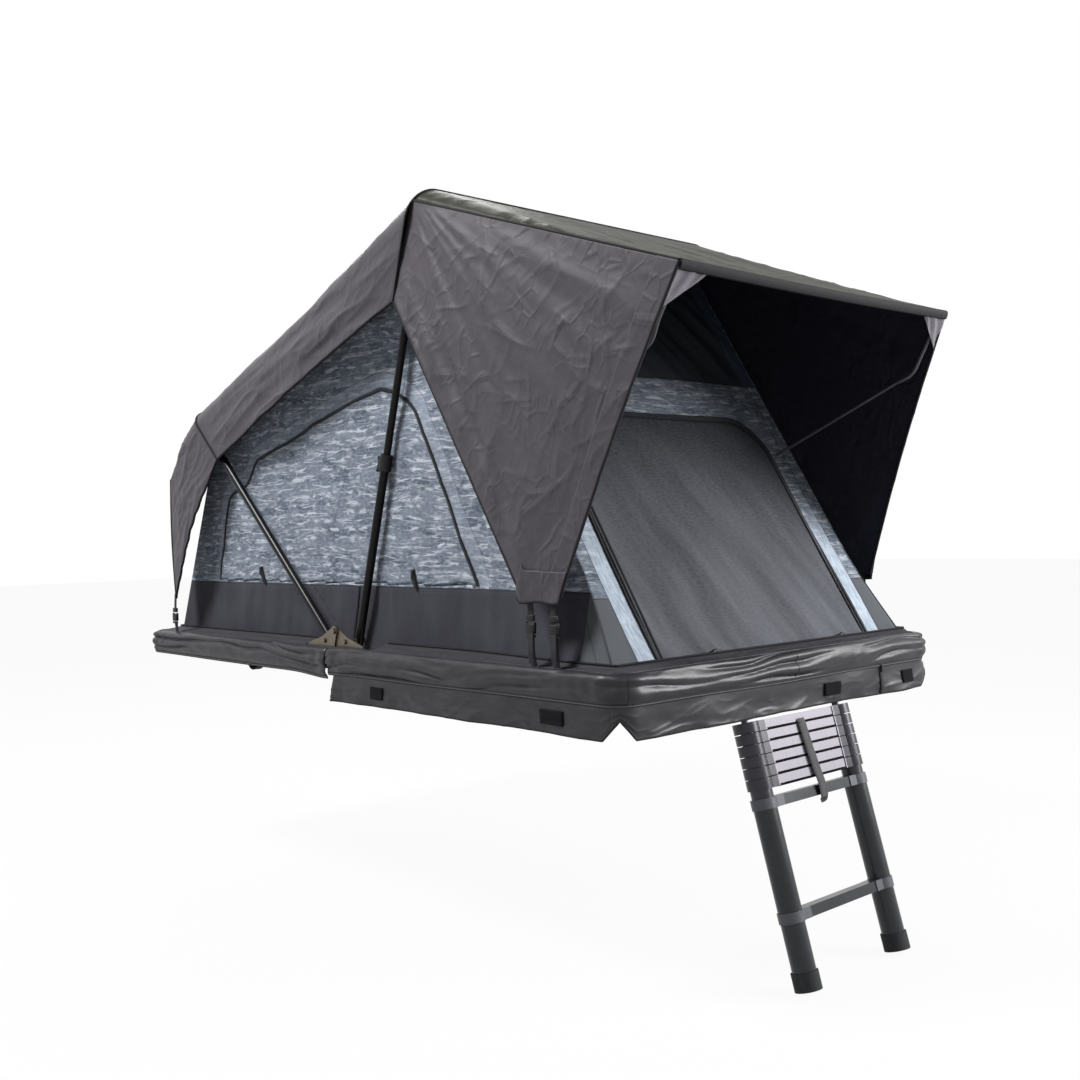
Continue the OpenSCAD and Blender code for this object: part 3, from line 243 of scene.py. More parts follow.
def srgb(red, green, blue):            # a colour as it is seen, 0 to 255, to the shader's own scale
    def line(value):
        value = value / 255.0
        return value / 12.92 if value <= 0.04045 else ((value + 0.055) / 1.055) ** 2.4
    return (line(red), line(green), line(blue))


stage = {
    "floorTone": (0.45, 0.45, 0.45, 1.0),
    "floorRough": 0.9,
    "floorSize": 60.0,
    "floorDrop": 0.002,                # below the lowest point of the object
    "floorWhite": 0.94,                # share of plain white that is seen, the rest keeps the shadow
    "sky": 0.31,                       # strength of the world as a light on the object
    "white": (1.0, 1.0, 1.0, 1.0),
}


def seenRays(f):                       # 1 where it is seen, straight, in gloss or through glass
    rays = f.node("ShaderNodeLightPath").socket.node.outputs
    names = ("Is Camera Ray", "Is Glossy Ray", "Is Transmission Ray")
    straight, glossy, through = (Wire(f, rays[name]) for name in names)
    return straight.most(glossy).most(through)


def addStage():
    floor = Finish("paleFloor")
    floor.put("Base Color", stage["floorTone"])
    floor.put("Roughness", stage["floorRough"])
    plain = floor.node("ShaderNodeEmission", None, {"Color": stage["white"], "Strength": 1.0})
    floor.showInstead(seenRays(floor) * stage["floorWhite"], plain)
    low = cadBox[0][2] - stage["floorDrop"]
    bpy.ops.mesh.primitive_plane_add(size=stage["floorSize"], location=(0, 0, low))
    ground = bpy.context.object
    ground.name = "floor"
    ground.data.materials.append(floor.mat)
    sky = Finish("studioWorld", world=True)
    bpy.context.scene.world = sky.mat
    sky.put("Color", stage["white"])
    sky.put("Strength", stage["sky"])
    bright = sky.node("ShaderNodeBackground", None, {"Color": stage["white"], "Strength": 1.0})
    sky.showInstead(seenRays(sky), bright)


lamps = {
    "key": {"place": (-0.6, -3.6, 5.2), "aim": (0.4, 0.0, 0.6), "size": 2.0, "power": 640.0},
    "fill": {"place": (4.4, 2.6, 1.8), "aim": (1.2, 0.0, 0.3), "size": 2.6, "power": 330.0},
    "back": {"place": (-3.4, 2.2, 4.2), "aim": (0.2, 0.0, 0.8), "size": 3.0, "power": 160.0},
}


def addLamps():
    for name, lamp in lamps.items():
        data = bpy.data.lights.new(name + "Lamp", "AREA")
        data.shape = "DISK"
        data.size = lamp["size"]
        data.energy = lamp["power"]
        item = placed(name + "Lamp", data)
        aim = Vector(lamp["aim"]) - Vector(lamp["place"])
        turn = aim.to_track_quat("-Z", "Y").to_matrix().to_4x4()
        item.matrix_world = Matrix.Translation(lamp["place"]) @ turn


addStage()
addLamps()
print("camera, stage and lamps set")

# Small tools for cloth: even noise on arrays, grids, ribbons and splitting


def latticeNoise(x, y, seed):          # smooth noise, about -1 to 1
    rng = np.random.default_rng(seed)
    order = rng.permutation(256)
    angle = rng.random(256) * 2 * math.pi
    x0, y0 = np.floor(x).astype(int), np.floor(y).astype(int)
    fx, fy = x - x0, y - y0

    def corner(dx, dy):
        pick = order[(order[(x0 + dx) & 255] + y0 + dy) & 255]
        return np.cos(angle[pick]) * (fx - dx) + np.sin(angle[pick]) * (fy - dy)
    sx = fx * fx * fx * (fx * (fx * 6 - 15) + 10)
    sy = fy * fy * fy * (fy * (fy * 6 - 15) + 10)
    low = corner(0, 0) * (1 - sx) + corner(1, 0) * sx
    high = corner(0, 1) * (1 - sx) + corner(1, 1) * sx
    return 1.5 * (low * (1 - sy) + high * sy)


def layered(x, y, seed, layers=3):
    total = np.zeros(np.broadcast(x, y).shape)
    for i in range(layers):
        total = total + latticeNoise(x * 2 ** i + 7.3 * i, y * 2 ** i - 3.1 * i, seed + i) / 2 ** i
    return total


def crease(x, y, seed, sharp=2.0):     # thin raised lines with flat cloth between them
    warpX = x + 0.35 * latticeNoise(x * 0.8, y * 0.8, seed + 50)
    warpY = y + 0.35 * latticeNoise(x * 0.8 + 9, y * 0.8 + 4, seed + 51)
    ridge = 1 - np.abs(latticeNoise(warpX, warpY, seed))
    return np.clip(ridge, 0, 1) ** (2 * sharp)


def steps(start, end, count):
    return np.linspace(start, end, count)


def fadeIn(distance, rate):            # 0 at an edge, 1 from 1 / rate metres on
    return np.clip(distance * rate, 0, 1)


def unitRows(vectors):
    return vectors / np.maximum(np.linalg.norm(vectors, axis=-1, keepdims=True), 1e-9)


def runAlong(points):                  # metres along a line, at each of its points
    return np.concatenate([[0], np.cumsum(np.linalg.norm(np.diff(points, axis=0), axis=1))])


def gridNormals(points):
    return unitRows(np.cross(np.gradient(points, axis=0), np.gradient(points, axis=1)))


def soften(item):
    item.data.polygons.foreach_set("use_smooth", np.ones(len(item.data.polygons), bool))
    return item


def meshPiece(name, points, faces, uv=None):
    mesh = bpy.data.meshes.new(name)
    mesh.from_pydata([tuple(p) for p in lifted(points)], [], faces)
    if uv is not None:
        layer = mesh.uv_layers.new(name="cut")
        loops = np.empty(len(mesh.loops), dtype=np.int64)
        mesh.loops.foreach_get("vertex_index", loops)
        layer.data.foreach_set("uv", np.asarray(uv, np.float32)[loops].ravel())
    mesh.validate()
    mesh.update()
    return soften(placed(name, mesh))


def gridPiece(name, points, uv, flip=False, keep=None):   # a sheet from rows of points
    rows, cols = points.shape[:2]
    index = np.arange(rows * cols).reshape(rows, cols)
    a, b, c, d = index[:-1, :-1], index[1:, :-1], index[1:, 1:], index[:-1, 1:]
    quads = np.stack([a, d, c, b] if flip else [a, b, c, d], axis=-1).reshape(-1, 4)
    if keep is not None:
        quads = quads[keep.reshape(-1)]
    used, renumbered = np.unique(quads, return_inverse=True)
    faces = renumbered.reshape(-1, 4).tolist()
    return meshPiece(name, points.reshape(-1, 3)[used], faces, uv.reshape(-1, 2)[used])


def cellMiddles(values):
    return (values[:-1, :-1] + values[1:, :-1] + values[1:, 1:] + values[:-1, 1:]) / 4


def smoothLine(points, count):         # a soft curve through points
    points = np.asarray(points, float)
    padded = np.concatenate([2 * points[:1] - points[1:2], points, 2 * points[-1:] - points[-2:-1]])
    t = steps(0, 1, count + 1)[:-1, None]
    made = []
    for i in range(1, len(padded) - 2):
        p0, p1, p2, p3 = padded[i - 1:i + 3]
        made.append(0.5 * (2 * p1 + (p2 - p0) * t + (2 * p0 - 5 * p1 + 4 * p2 - p3) * t ** 2
                           + (3 * p1 - p0 - 3 * p2 + p3) * t ** 3))
    made.append(padded[-2:-1])
    return np.concatenate(made)


def withinOutline(px, pz, outline):
    inside = np.zeros(px.shape, bool)
    for (ax, az), (bx, bz) in zip(outline, np.roll(outline, -1, axis=0)):
        crosses = (az > pz) != (bz > pz)
        at = ax + (pz - az) * (bx - ax) / (bz - az if bz != az else 1e-12)
        inside ^= crosses & (px < at)
    return inside


def snapTo(px, pz, line, reach):       # draws nearby points of a grid on to a line
    best = np.full(px.shape, 1e9)
    newX, newZ = px.copy(), pz.copy()
    for (ax, az), (bx, bz) in zip(line[:-1], line[1:]):
        span = max((bx - ax) ** 2 + (bz - az) ** 2, 1e-12)
        t = np.clip(((px - ax) * (bx - ax) + (pz - az) * (bz - az)) / span, 0, 1)
        qx, qz = ax + t * (bx - ax), az + t * (bz - az)
        d = np.hypot(px - qx, pz - qz)
        closer = (d < best) & (d < reach)
        best = np.where(closer, d, best)
        newX, newZ = np.where(closer, qx, newX), np.where(closer, qz, newZ)
    return newX, newZ


def evenLine(points, gap):             # the same line with points gap metres apart
    points = np.asarray(points, float)
    run = runAlong(points)
    at = steps(0, run[-1], max(3, int(run[-1] / gap) + 1))
    return np.stack([np.interp(at, run, points[:, i]) for i in range(points.shape[1])], axis=-1)


def choose(item):
    bpy.ops.object.select_all(action="DESELECT")
    item.select_set(True)
    bpy.context.view_layer.objects.active = item


def finishWith(item, kind, **settings):
    made = item.modifiers.new(kind.lower(), kind)
    for key, value in settings.items():
        setattr(made, key, value)
    choose(item)
    bpy.ops.object.modifier_apply(modifier=made.name)
    return item


def thicken(item, thickness):
    return finishWith(item, "SOLIDIFY", thickness=thickness, offset=0.0, use_even_offset=False)


hardEdges = {"strap": 50, "block": 40}   # degrees past which an edge stays sharp
nearFace = (0, -1, 0)                  # a strap that lies on the near side looks this way


def tubeFaces(rings, sides):           # quads between rings of points, and a cap at each end
    here = np.arange(sides)
    there = (here + 1) % sides
    quads = np.stack([here, there, there + sides, here + sides], -1)
    faces = []
    for i in range(rings - 1):
        faces += (quads + i * sides).tolist()
    return faces + [here[::-1].tolist(), (here + (rings - 1) * sides).tolist()]


def ribbonPiece(name, path, width, thick, face, arch=0.0):   # a strap, its flat side towards face
    path = np.asarray(path, float)
    face = np.broadcast_to(np.asarray(face, float), path.shape)
    ahead = unitRows(np.gradient(path, axis=0))
    side = unitRows(np.cross(ahead, face))
    out = np.cross(side, ahead)
    section = [(-0.5, -0.35), (-0.42, 0.5), (-0.2, 0.5 + arch), (0.2, 0.5 + arch), (0.42, 0.5), (0.5, -0.35),
               (0.42, -0.5), (-0.42, -0.5)]
    points = np.stack([path + side * width * s + out * thick * h for s, h in section], axis=1)
    run, across = np.meshgrid(runAlong(path), [width * s for s, _ in section], indexing="ij")
    uv = np.stack([run, across], -1).reshape(-1, 2)
    item = meshPiece(name, points.reshape(-1, 3), tubeFaces(len(path), len(section)), uv)
    return finishWith(item, "EDGE_SPLIT", split_angle=math.radians(hardEdges["strap"]))


def pipePiece(name, path, radius, sides=8):   # a round cord along a path
    path = np.asarray(path, float)
    ahead = unitRows(np.gradient(path, axis=0))
    guess = np.array([0.13, 0.21, 0.97]) if abs(ahead[0][2]) < 0.9 else np.array([0.97, 0.13, 0.21])
    side = np.cross(ahead[0], guess)
    sideRows = []
    for d in ahead:                    # carried along without twist
        side = side - d * np.dot(side, d)
        side = side / np.linalg.norm(side)
        sideRows.append(side)
    sideRows = np.array(sideRows)
    over = np.cross(ahead, sideRows)
    turn = np.arange(sides) * 2 * math.pi / sides
    ring = np.cos(turn)[None, :, None] * sideRows[:, None, :] + np.sin(turn)[None, :, None] * over[:, None, :]
    points = path[:, None, :] + radius * ring
    run, around = np.meshgrid(runAlong(path), turn * radius, indexing="ij")
    uv = np.stack([run, around], -1).reshape(-1, 2)
    return meshPiece(name, points.reshape(-1, 3), tubeFaces(len(path), sides), uv)


def reflect(item, axis, middle=0.0):   # turned over across an axis, its faces still outwards
    work = bmesh.new()
    work.from_mesh(item.data)
    for vert in work.verts:
        vert.co[axis] = 2 * middle - vert.co[axis]
    bmesh.ops.reverse_faces(work, faces=work.faces)
    work.to_mesh(item.data)
    work.free()
    return item


def copied(item, name):                # a copy with its own mesh
    mesh = item.data.copy()
    mesh.name = name
    return placed(name, mesh)


def trimmed(item, name, cuts):         # a copy cut by planes, each (point, outward normal)
    part = copied(item, name)
    work = bmesh.new()
    work.from_mesh(part.data)
    for point, normal in cuts:
        geometry = work.verts[:] + work.edges[:] + work.faces[:]
        bmesh.ops.bisect_plane(work, geom=geometry, dist=1e-5, plane_co=point, plane_no=normal,
                               clear_outer=True)
    empty = len(work.faces) == 0
    work.to_mesh(part.data)
    work.free()
    if empty:
        bpy.data.meshes.remove(part.data)   # takes the object with it
        return None
    return part


def bowPlane(pivot, up):               # the plane of a bow's legs, its normal to the rear
    return rowPoint(pivot[0], 0, pivot[1]), Vector((-up[1], 0, up[0]))


rearPlane = bowPlane(tent["rearPivot"], rearUp)
ridgePlane = bowPlane(tent["ridgePivot"], ridgeUp)
sectorCuts = {
    "Rear": [(rearPlane[0], -rearPlane[1])],
    "Mid": [rearPlane, (ridgePlane[0], -ridgePlane[1])],
    "Front": [ridgePlane],
}
midUp = unit(90 - tent["rearClose"])   # stands straight up once the rear bow is down
midFlat = np.array(tent["rearPivot"]) + midUp * (tent["midZ"] - tent["rearPivot"][1])
folds = {                              # body, the way the cloth goes flat, a point of the flat layer
    "Rear": ("fixed_base", (0, 1), (-tent["flatMiddle"], tent["flatZ"])),
    "Mid": ("rear_bow", midUp, midFlat),
    "Front": ("fold_base", (0, 1), (tent["flatMiddle"], tent["flatZ"])),
}


def fold(item, sector):                # attaches the cloth of each part of the fan to the body it rides on; the way it goes flat and a point of its flat layer are read but not used
    body, way, at = folds[sector]
    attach(item, body)
    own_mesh(item)
    return item


def wear(item, finish):
    item.data.materials.clear()
    item.data.materials.append(finish.mat)
    return item


def label(item, replaced=()):
    if replaced:
        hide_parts(*replaced)
    return item


def dress(item, body, replaced=()):
    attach(item, body)
    return label(item, replaced)


def foldCloth(item, sector, replaced=()):
    return label(fold(item, sector), replaced)


def readCut(mesh):                     # the piece's own map, at each corner of its faces
    flat = np.empty(len(mesh.loops) * 2, np.float32)
    mesh.uv_layers["cut"].data.foreach_get("uv", flat)
    return flat.reshape(-1, 2)


flatRule = {"turnStep": 3, "leastFill": 0.3}   # degrees between tries, least share that is cloth


def declareCloth(item):   # flat size and area are worked out from the piece's own cut, and not kept
    mesh = item.data
    uv = readCut(mesh).astype(float)
    mesh.calc_loop_triangles()
    loops = np.empty(len(mesh.loop_triangles) * 3, np.int32)
    mesh.loop_triangles.foreach_get("loops", loops)
    a, b, c = (uv[loops.reshape(-1, 3)[:, i]] for i in range(3))
    area = np.abs((b - a)[:, 0] * (c - a)[:, 1] - (b - a)[:, 1] * (c - a)[:, 0]).sum() / 4
    sizes = []
    for turn in np.radians(np.arange(0, 90, flatRule["turnStep"])):   # the smallest oblong it fits in
        across = uv @ np.array([[math.cos(turn), -math.sin(turn)], [math.sin(turn), math.cos(turn)]])
        sizes.append(across.max(axis=0) - across.min(axis=0))
    size = min(sizes, key=lambda s: s[0] * s[1])
    area = min(max(area, flatRule["leastFill"] * size[0] * size[1]), size[0] * size[1])


def clothPiece(name, points, cut, thick, finish, flip=False, keep=None):   # a finished sheet
    return soften(wear(thicken(gridPiece(name, points, cut, flip, keep), thick), finish))


def cordPiece(name, line, radius, sector):   # piping along an edge of the folding cloth
    return foldCloth(wear(pipePiece(name, line, radius), piping), sector)


def boxPiece(name, middle, size, bevel, turn=None, segments=3):   # a bevelled block, turned about its middle
    bpy.ops.object.select_all(action="DESELECT")
    bpy.ops.mesh.primitive_cube_add(size=1.0)
    item = bpy.context.object
    item.name = name
    item.data.name = name
    move = Matrix.Translation(rowPoint(*middle)) @ (turn.to_4x4() if turn is not None else Matrix.Identity(4))
    item.data.transform(move @ Matrix.Diagonal((*size, 1.0)))
    finishWith(item, "BEVEL", width=bevel, segments=segments, limit_method="NONE")
    choose(item)
    bpy.ops.object.shade_smooth_by_angle(angle=math.radians(hardEdges["block"]))
    return item


def joined(name, items):               # several pieces of one body as one object
    bpy.ops.object.select_all(action="DESELECT")
    for item in items:
        item.select_set(True)
    bpy.context.view_layer.objects.active = items[0]
    bpy.ops.object.join()
    items[0].name = name
    items[0].data.name = name
    return items[0]


def bothSides(item, farName):          # the near piece and its mirrored copy for the far side
    return [item, soften(reflect(copied(item, farName), 1))]


def bySector(item, base):              # the piece cut where the bows cross it, one part for each
    made = []
    for sector, cuts in sectorCuts.items():
        part = trimmed(item, base + sector, cuts)
        if part is not None:
            made.append((part, sector))
    bpy.data.objects.remove(item)
    return made


# Finishes


def dimmed(colour, share):
    return tuple(c * share for c in colour)


def camoColours(f, along, up, tone=1.0):   # thin wavy broken streaks over slate, with darker blotches; a tone below 1 dims it all as painted shade
    sway = f.grain(along * 2.6, up * 6.0, 2.0)
    rise = up + (sway - 0.5) * 0.05
    streak = f.grain(along * 9.5, rise * 70.0, 2.5, 0.5, 2.0, 0.08)
    line = (1 - abs(streak - 0.5) * 14.0).shifted(0.0)
    rows = rise.ribs(0.027) * 0.38 + 0.62
    gaps = f.grain(along * 24.0, rise * 36.0, 2.0, 0.5, 5.0).above(0.45, 0.14) * rows
    specks = f.grain(along * 60.0, rise * 130.0, 2.0, 0.6, 8.0).above(0.55, 0.14)
    blotch = f.grain(along * 6.5, rise * 24.0, 4.0, 0.6, 11.0).above(0.46, 0.18)
    tint = f.grain(along * 15.0, rise * 60.0, 3.0, 0.6, 14.0)
    colour = f.mix(tint, dimmed(srgb(98, 106, 118), tone), dimmed(srgb(122, 129, 139), tone))
    colour = f.mix(blotch * 0.7, dimmed(srgb(74, 82, 95), tone), colour)
    colour = f.mix(specks * 0.35, colour, dimmed(srgb(146, 154, 164), tone))
    return f.mix((line * gaps * 0.9).shifted(0.0), colour, dimmed(srgb(184, 188, 195), tone))


def greyPanel(f, cloud):               # the plain cloth at the body's front corners
    return f.mix(cloud, srgb(68, 71, 74), srgb(87, 90, 94))


def weaveHeight(along, up, pitch):     # plain weave, threads pitch metres apart
    return along.ribs(pitch) * up.ribs(pitch)


def lineMask(across, at, width):       # 1 on a thin line, soft at its edges
    return 1 - abs(across - at).above(width * 0.5, width * 0.5)


def stitchMask(along, across, at, pitch, width):   # a dashed line of thread
    return lineMask(across, at, width) * along.ribs(pitch).above(-0.35, 0.3)


def twinStitch(along, across, first, second, pitch=0.006, width=0.0014):
    first, second = (stitchMask(along, across, at, pitch, width) for at in (first, second))
    return first.most(second)


def clothSurface(f, rough, level):
    f.put("Roughness", rough)
    f.put("Specular IOR Level", level)


wallPlan = {"strip": 0.5, "greyFrom": 1.012, "slantRate": 0.608, "slantAt": 1.085}   # seams of the side wall


def makeWallCloth():
    p, bandTop = wallPlan, tent["bandTop"]
    f = Finish("camoWall")
    along, up, _ = f.split(f.cut())
    beside, _, _ = f.split(f.cut("mark"))
    camo = camoColours(f, along, up)
    pleats = f.grain(along * 46.0, up * 10.0, 3.0, 0.6)
    onStrip = beside.above(p["strip"], 0.01)       # the storm strip round the window
    camo = f.mix(onStrip * (pleats * 0.7), camo, srgb(138, 147, 159))
    camo = f.mix(lineMask(beside, p["strip"], 0.03) * 0.5, camo, srgb(58, 66, 78))
    cloud = f.grain(along * 9.0, up * 3.0)
    charcoal = f.mix(cloud, srgb(44, 44, 50), srgb(66, 66, 73))
    charcoal = f.mix(along.above(p["greyFrom"], 0.001), charcoal, greyPanel(f, cloud))
    slant = along + up * p["slantRate"]
    charcoal = f.mix(lineMask(slant, p["slantAt"], 0.003) * 0.6, charcoal, srgb(42, 43, 46))
    colour = f.mix(up.above(bandTop, 0.0008), charcoal, camo)
    seam = lineMask(up, bandTop, 0.004)
    thread = twinStitch(along, up, bandTop - 0.006, bandTop - 0.012)
    colour = f.mix(seam * 0.7, colour, srgb(24, 24, 28))
    colour = f.mix(thread * 0.35, colour, srgb(86, 86, 90))
    f.put("Base Color", colour)
    clothSurface(f, 0.85, 0.08)
    height = weaveHeight(along, up, 0.0018) * 0.25 + cloud * 1.2 - seam * 1.5 + pleats * onStrip * 2.0
    f.bump(height + pleats * (1 - up.above(bandTop, 0.01)) * 1.6, 0.4, 0.0014)
    return f


doorPlan = {"stripOut": 0.512, "panelTop": 0.205, "bandHigh": 0.918, "edge": 0.50}   # seams of the door wall


def makeDoorWallCloth():
    p = doorPlan
    f = Finish("doorWallCloth")
    across, up, _ = f.split(f.cut())
    side = abs(across)
    # the camo dimmed to 0.86: painted shade over the door wall, which lies under the awning
    camo = camoColours(f, across + 0.7, up, 0.86)
    streaks = f.grain(across * 70.0, up * 5.0, 4.0, 0.6)
    wash = f.grain(across * 20.0, up * 14.0)
    flecks = f.grain(across * 120.0, up * 34.0 + across * 60.0, 3.0, 0.65)
    bleach = streaks * 0.5 + wash * 0.3 + flecks.above(0.5, 0.2) * 0.35
    pale = f.mix(bleach, srgb(92, 104, 119), srgb(182, 192, 203))
    beyond = side.above(p["stripOut"], 0.001)
    colour = f.mix((1 - beyond) * (1 - up.above(0.40, 0.22)), camo, pale)
    isPanel = beyond * (1 - up.above(p["panelTop"], 0.001))
    colour = f.mix(isPanel, colour, greyPanel(f, f.grain(across * 9.0, up * 3.0)))
    # above the high seam: near-black cloth, lighter and darker along its gathers, painted shade under the
    # awning; blue-grey at the side edges
    drape = f.grain(across * 26.0 + up * 14.0, up * 2.0)
    topShade = f.mix(drape, srgb(30, 32, 37), srgb(60, 63, 70))
    edgeTone = f.mix(drape, srgb(34, 40, 52), srgb(74, 86, 104))
    isTop = up.above(p["bandHigh"], 0.001)
    colour = f.mix(isTop, colour, f.mix(side.above(p["edge"], 0.004), topShade, edgeTone))
    seams = lineMask(up, p["bandHigh"], 0.004).most(lineMask(side, p["stripOut"], 0.003) * (1 - isTop))
    seams = seams.most(lineMask(up, p["panelTop"], 0.003) * beyond)
    colour = f.mix(seams * 0.7, colour, srgb(28, 30, 36))
    thread = twinStitch(up, side, p["stripOut"] + 0.006, p["stripOut"] - 0.006)
    colour = f.mix(thread * (1 - isTop) * 0.3, colour, srgb(60, 64, 72))
    f.put("Base Color", colour)
    clothSurface(f, 0.85, 0.08)
    f.bump(weaveHeight(across, up, 0.0018) * 0.25 + streaks * 0.6 - seams * 1.5, 0.35, 0.0012)
    return f


def makeMesh():
    f = Finish("insectMesh")
    across, up, _ = f.split(f.cut())
    slope = across + up * 0.28                     # soft drape lines lean across the door
    drape = f.grain(slope * 9.0, up * 1.4, 3.0, 0.55)
    cloud = f.grain(across * 2.2, up * 3.0 + across * 1.5, 4.0, 0.55)
    mottle = f.grain(slope * 60.0, up * 190.0, 5.0, 0.72)
    colour = f.mix(up.above(0.40, 0.84), srgb(102, 104, 110), srgb(20, 21, 24))   # darker towards the top: painted shade under the awning
    # darker along the drape lines: painted shade in the mesh's folds
    colour = f.mix(drape.above(0.52, 0.25) * 0.55, colour, srgb(34, 36, 40))
    colour = f.mix(cloud.above(0.52, 0.3) * 0.2, colour, srgb(88, 91, 97))
    colour = f.mix(mottle.above(0.5, 0.25) * 0.16, colour, srgb(104, 106, 112))
    colour = f.mix((1 - mottle).above(0.54, 0.25) * 0.2, colour, srgb(26, 27, 30))
    f.put("Base Color", colour)
    clothSurface(f, 0.8, 0.05)
    f.bump(weaveHeight(across, up, 0.0022) * 0.5 + mottle * 0.6 + drape * 1.5, 0.45, 0.0014)
    return f


def crispFolds(f, along, up, rate, seed):   # short straight folds, where flat facets of cloth meet
    bend = f.grain(along * 3.0, up * 3.0, 2.0, 0.5, seed)
    sockets = {"Vector": f.spot(along * rate + bend * 2.0, up * (rate * 0.7) - bend, seed), "Scale": 1.0}
    edge = f.node("ShaderNodeTexVoronoi", {"feature": "DISTANCE_TO_EDGE"}, sockets, "Distance")
    broken = f.grain(along * 6.0, up * 6.0, 2.0, 0.5, seed + 4.0).above(0.5, 0.12)
    return (1 - edge * 9.0).shifted(0.0) * broken


def makeFlyCloth(name, light, dark, gloss=0.5, level=0.26, folds=0.4, insideShade=None):
    f = Finish(name)
    along, up, _ = f.split(f.cut())
    flat = f.spot(along, up)
    cloud = f.noise(flat, 2.6, 4.0, 0.55)
    rubbed = f.noise(f.stretch(flat, (60, 60, 1)), 1.0, 3.0, 0.6)
    colour = f.mix(cloud, dark, light)
    colour = f.mix(rubbed.above(0.62, 0.2) * 0.08, colour, srgb(110, 105, 108))
    # inward faces take a darker colour: painted shade inside the awning
    if insideShade:
        inside, _, _ = f.split(f.cut("mark"))
        colour = f.mix(inside, colour, insideShade)
    f.put("Base Color", colour)
    f.put("Roughness", cloud * 0.16 + (gloss - 0.08))
    f.put("Specular IOR Level", level)
    crisp = crispFolds(f, along, up, 10.0, 3.0) + crispFolds(f, along, up, 23.0, 7.0) * 0.5
    grid = (along * 1250.0).wave().most((up * 1250.0).wave())
    f.bump(crisp * 0.9 + rubbed * 0.2 + grid * 0.03, folds, 0.0024)
    return f


def makeVinyl():
    f = Finish("coverVinyl")
    along, up, _ = f.split(f.cut())
    flat = f.spot(along, up)
    cloud = f.noise(flat, 5.0, 4.0)
    scuff = f.noise(f.stretch(flat, (16, 60, 1)), 1.0, 4.0, 0.62)
    colour = f.mix(cloud, srgb(24, 23, 26), srgb(38, 36, 41))
    colour = f.mix(scuff.above(0.6, 0.25) * 0.12, colour, srgb(90, 87, 95))
    f.put("Base Color", colour)
    f.put("Roughness", cloud * 0.14 + 0.32)
    f.put("Specular IOR Level", 0.28)
    grid = (along * 2600.0).wave() * (up * 2600.0).wave()
    f.bump(grid * 0.12 + scuff * 0.3, 0.3, 0.001)
    return f


def makeWelt():
    f = Finish("stitchedWelt")
    along, up, _ = f.split(f.cut())
    pucker = f.grain(along * 90.0, up * 12.0)
    cloud = f.grain(along * 6.0, up * 30.0)
    colour = f.mix(cloud, srgb(36, 36, 40), srgb(56, 55, 60))
    thread = twinStitch(along, up, 0.012, 0.040, 0.005, 0.0016)
    colour = f.mix(thread * 0.5, colour, srgb(84, 83, 88))
    f.put("Base Color", colour)
    clothSurface(f, 0.7, 0.1)
    f.bump(pucker * 1.6 + thread * 0.5, 0.5, 0.0025)
    return f


def makeTape(name, tone, tooth, pitch=0.0032):   # woven tape with a line of zip teeth along its middle
    f = Finish(name)
    along, across, _ = f.split(f.cut())
    teeth = along.ribs(pitch).above(-0.1, 0.4)
    middle = 1 - abs(across).above(0.0016, 0.0006)
    rib = along.ribs(0.0016)
    colour = f.mix(f.noise(f.cut(), 60.0, 3.0), dimmed(tone, 0.75), tone)
    colour = f.mix(teeth * middle * 0.9, colour, tooth)
    f.put("Base Color", colour)
    clothSurface(f, 0.6, 0.12)
    f.bump(teeth * middle * 1.2 + rib * 0.15, 0.5, 0.001)
    return f


def makeWebbing(name, light, dark):
    f = Finish(name)
    along, across, _ = f.split(f.cut())
    rib = along.ribs(0.0022)
    edge = abs(across).above(0.009, 0.002)
    colour = f.mix(f.noise(f.cut(), 40.0, 4.0), dark, light)
    f.put("Base Color", f.mix(edge * 0.3, colour, dimmed(dark, 0.6)))
    clothSurface(f, 0.65, 0.12)
    f.bump(rib * 0.6 + f.noise(f.cut(), 900.0, 2.0) * 0.4, 0.5, 0.0008)
    return f


def makePlain(name, light, dark, rough, bumpScale=700.0, bumpShare=0.25, metal=0.0, level=0.22):
    f = Finish(name)
    spot = f.place()
    cloud = f.noise(spot, 6.0, 4.0)
    grain = f.noise(spot, bumpScale, 2.0)
    worn = f.noise(spot, 38.0, 5.0, 0.65).above(0.6, 0.14)
    colour = f.mix(cloud, dark, light)
    colour = f.mix(worn * 0.16, colour, tuple(min(1.0, c * 1.9 + 0.012) for c in light))
    f.put("Base Color", colour)
    f.put("Roughness", cloud * 0.14 + (rough - 0.07))
    f.put("Metallic", metal)
    f.put("Specular IOR Level", level)
    f.bump(grain, bumpShare, 0.0006)
    return f


def makeMetal(name, light, dark, rough, streaks=(4.0, 4.0, 220.0)):
    f = Finish(name)
    spot = f.place()
    brushed = f.noise(f.stretch(spot, streaks), 1.0, 3.0, 0.6)
    cloud = f.noise(spot, 9.0, 4.0)
    f.put("Base Color", f.mix(brushed * 0.6 + cloud * 0.4, dark, light))
    f.put("Metallic", 1.0)
    f.put("Roughness", brushed * 0.16 + (rough - 0.08))
    f.bump(brushed, 0.12, 0.0005)
    return f


def makeLoopPatch():
    f = Finish("loopPatch")
    along, up, _ = f.split(f.cut())
    fuzz = f.noise(f.spot(along, up), 900.0, 3.0, 0.7)
    f.put("Base Color", f.mix(fuzz, srgb(10, 10, 11), srgb(34, 34, 36)))
    clothSurface(f, 0.95, 0.04)
    f.bump(fuzz, 0.5, 0.0008)
    return f


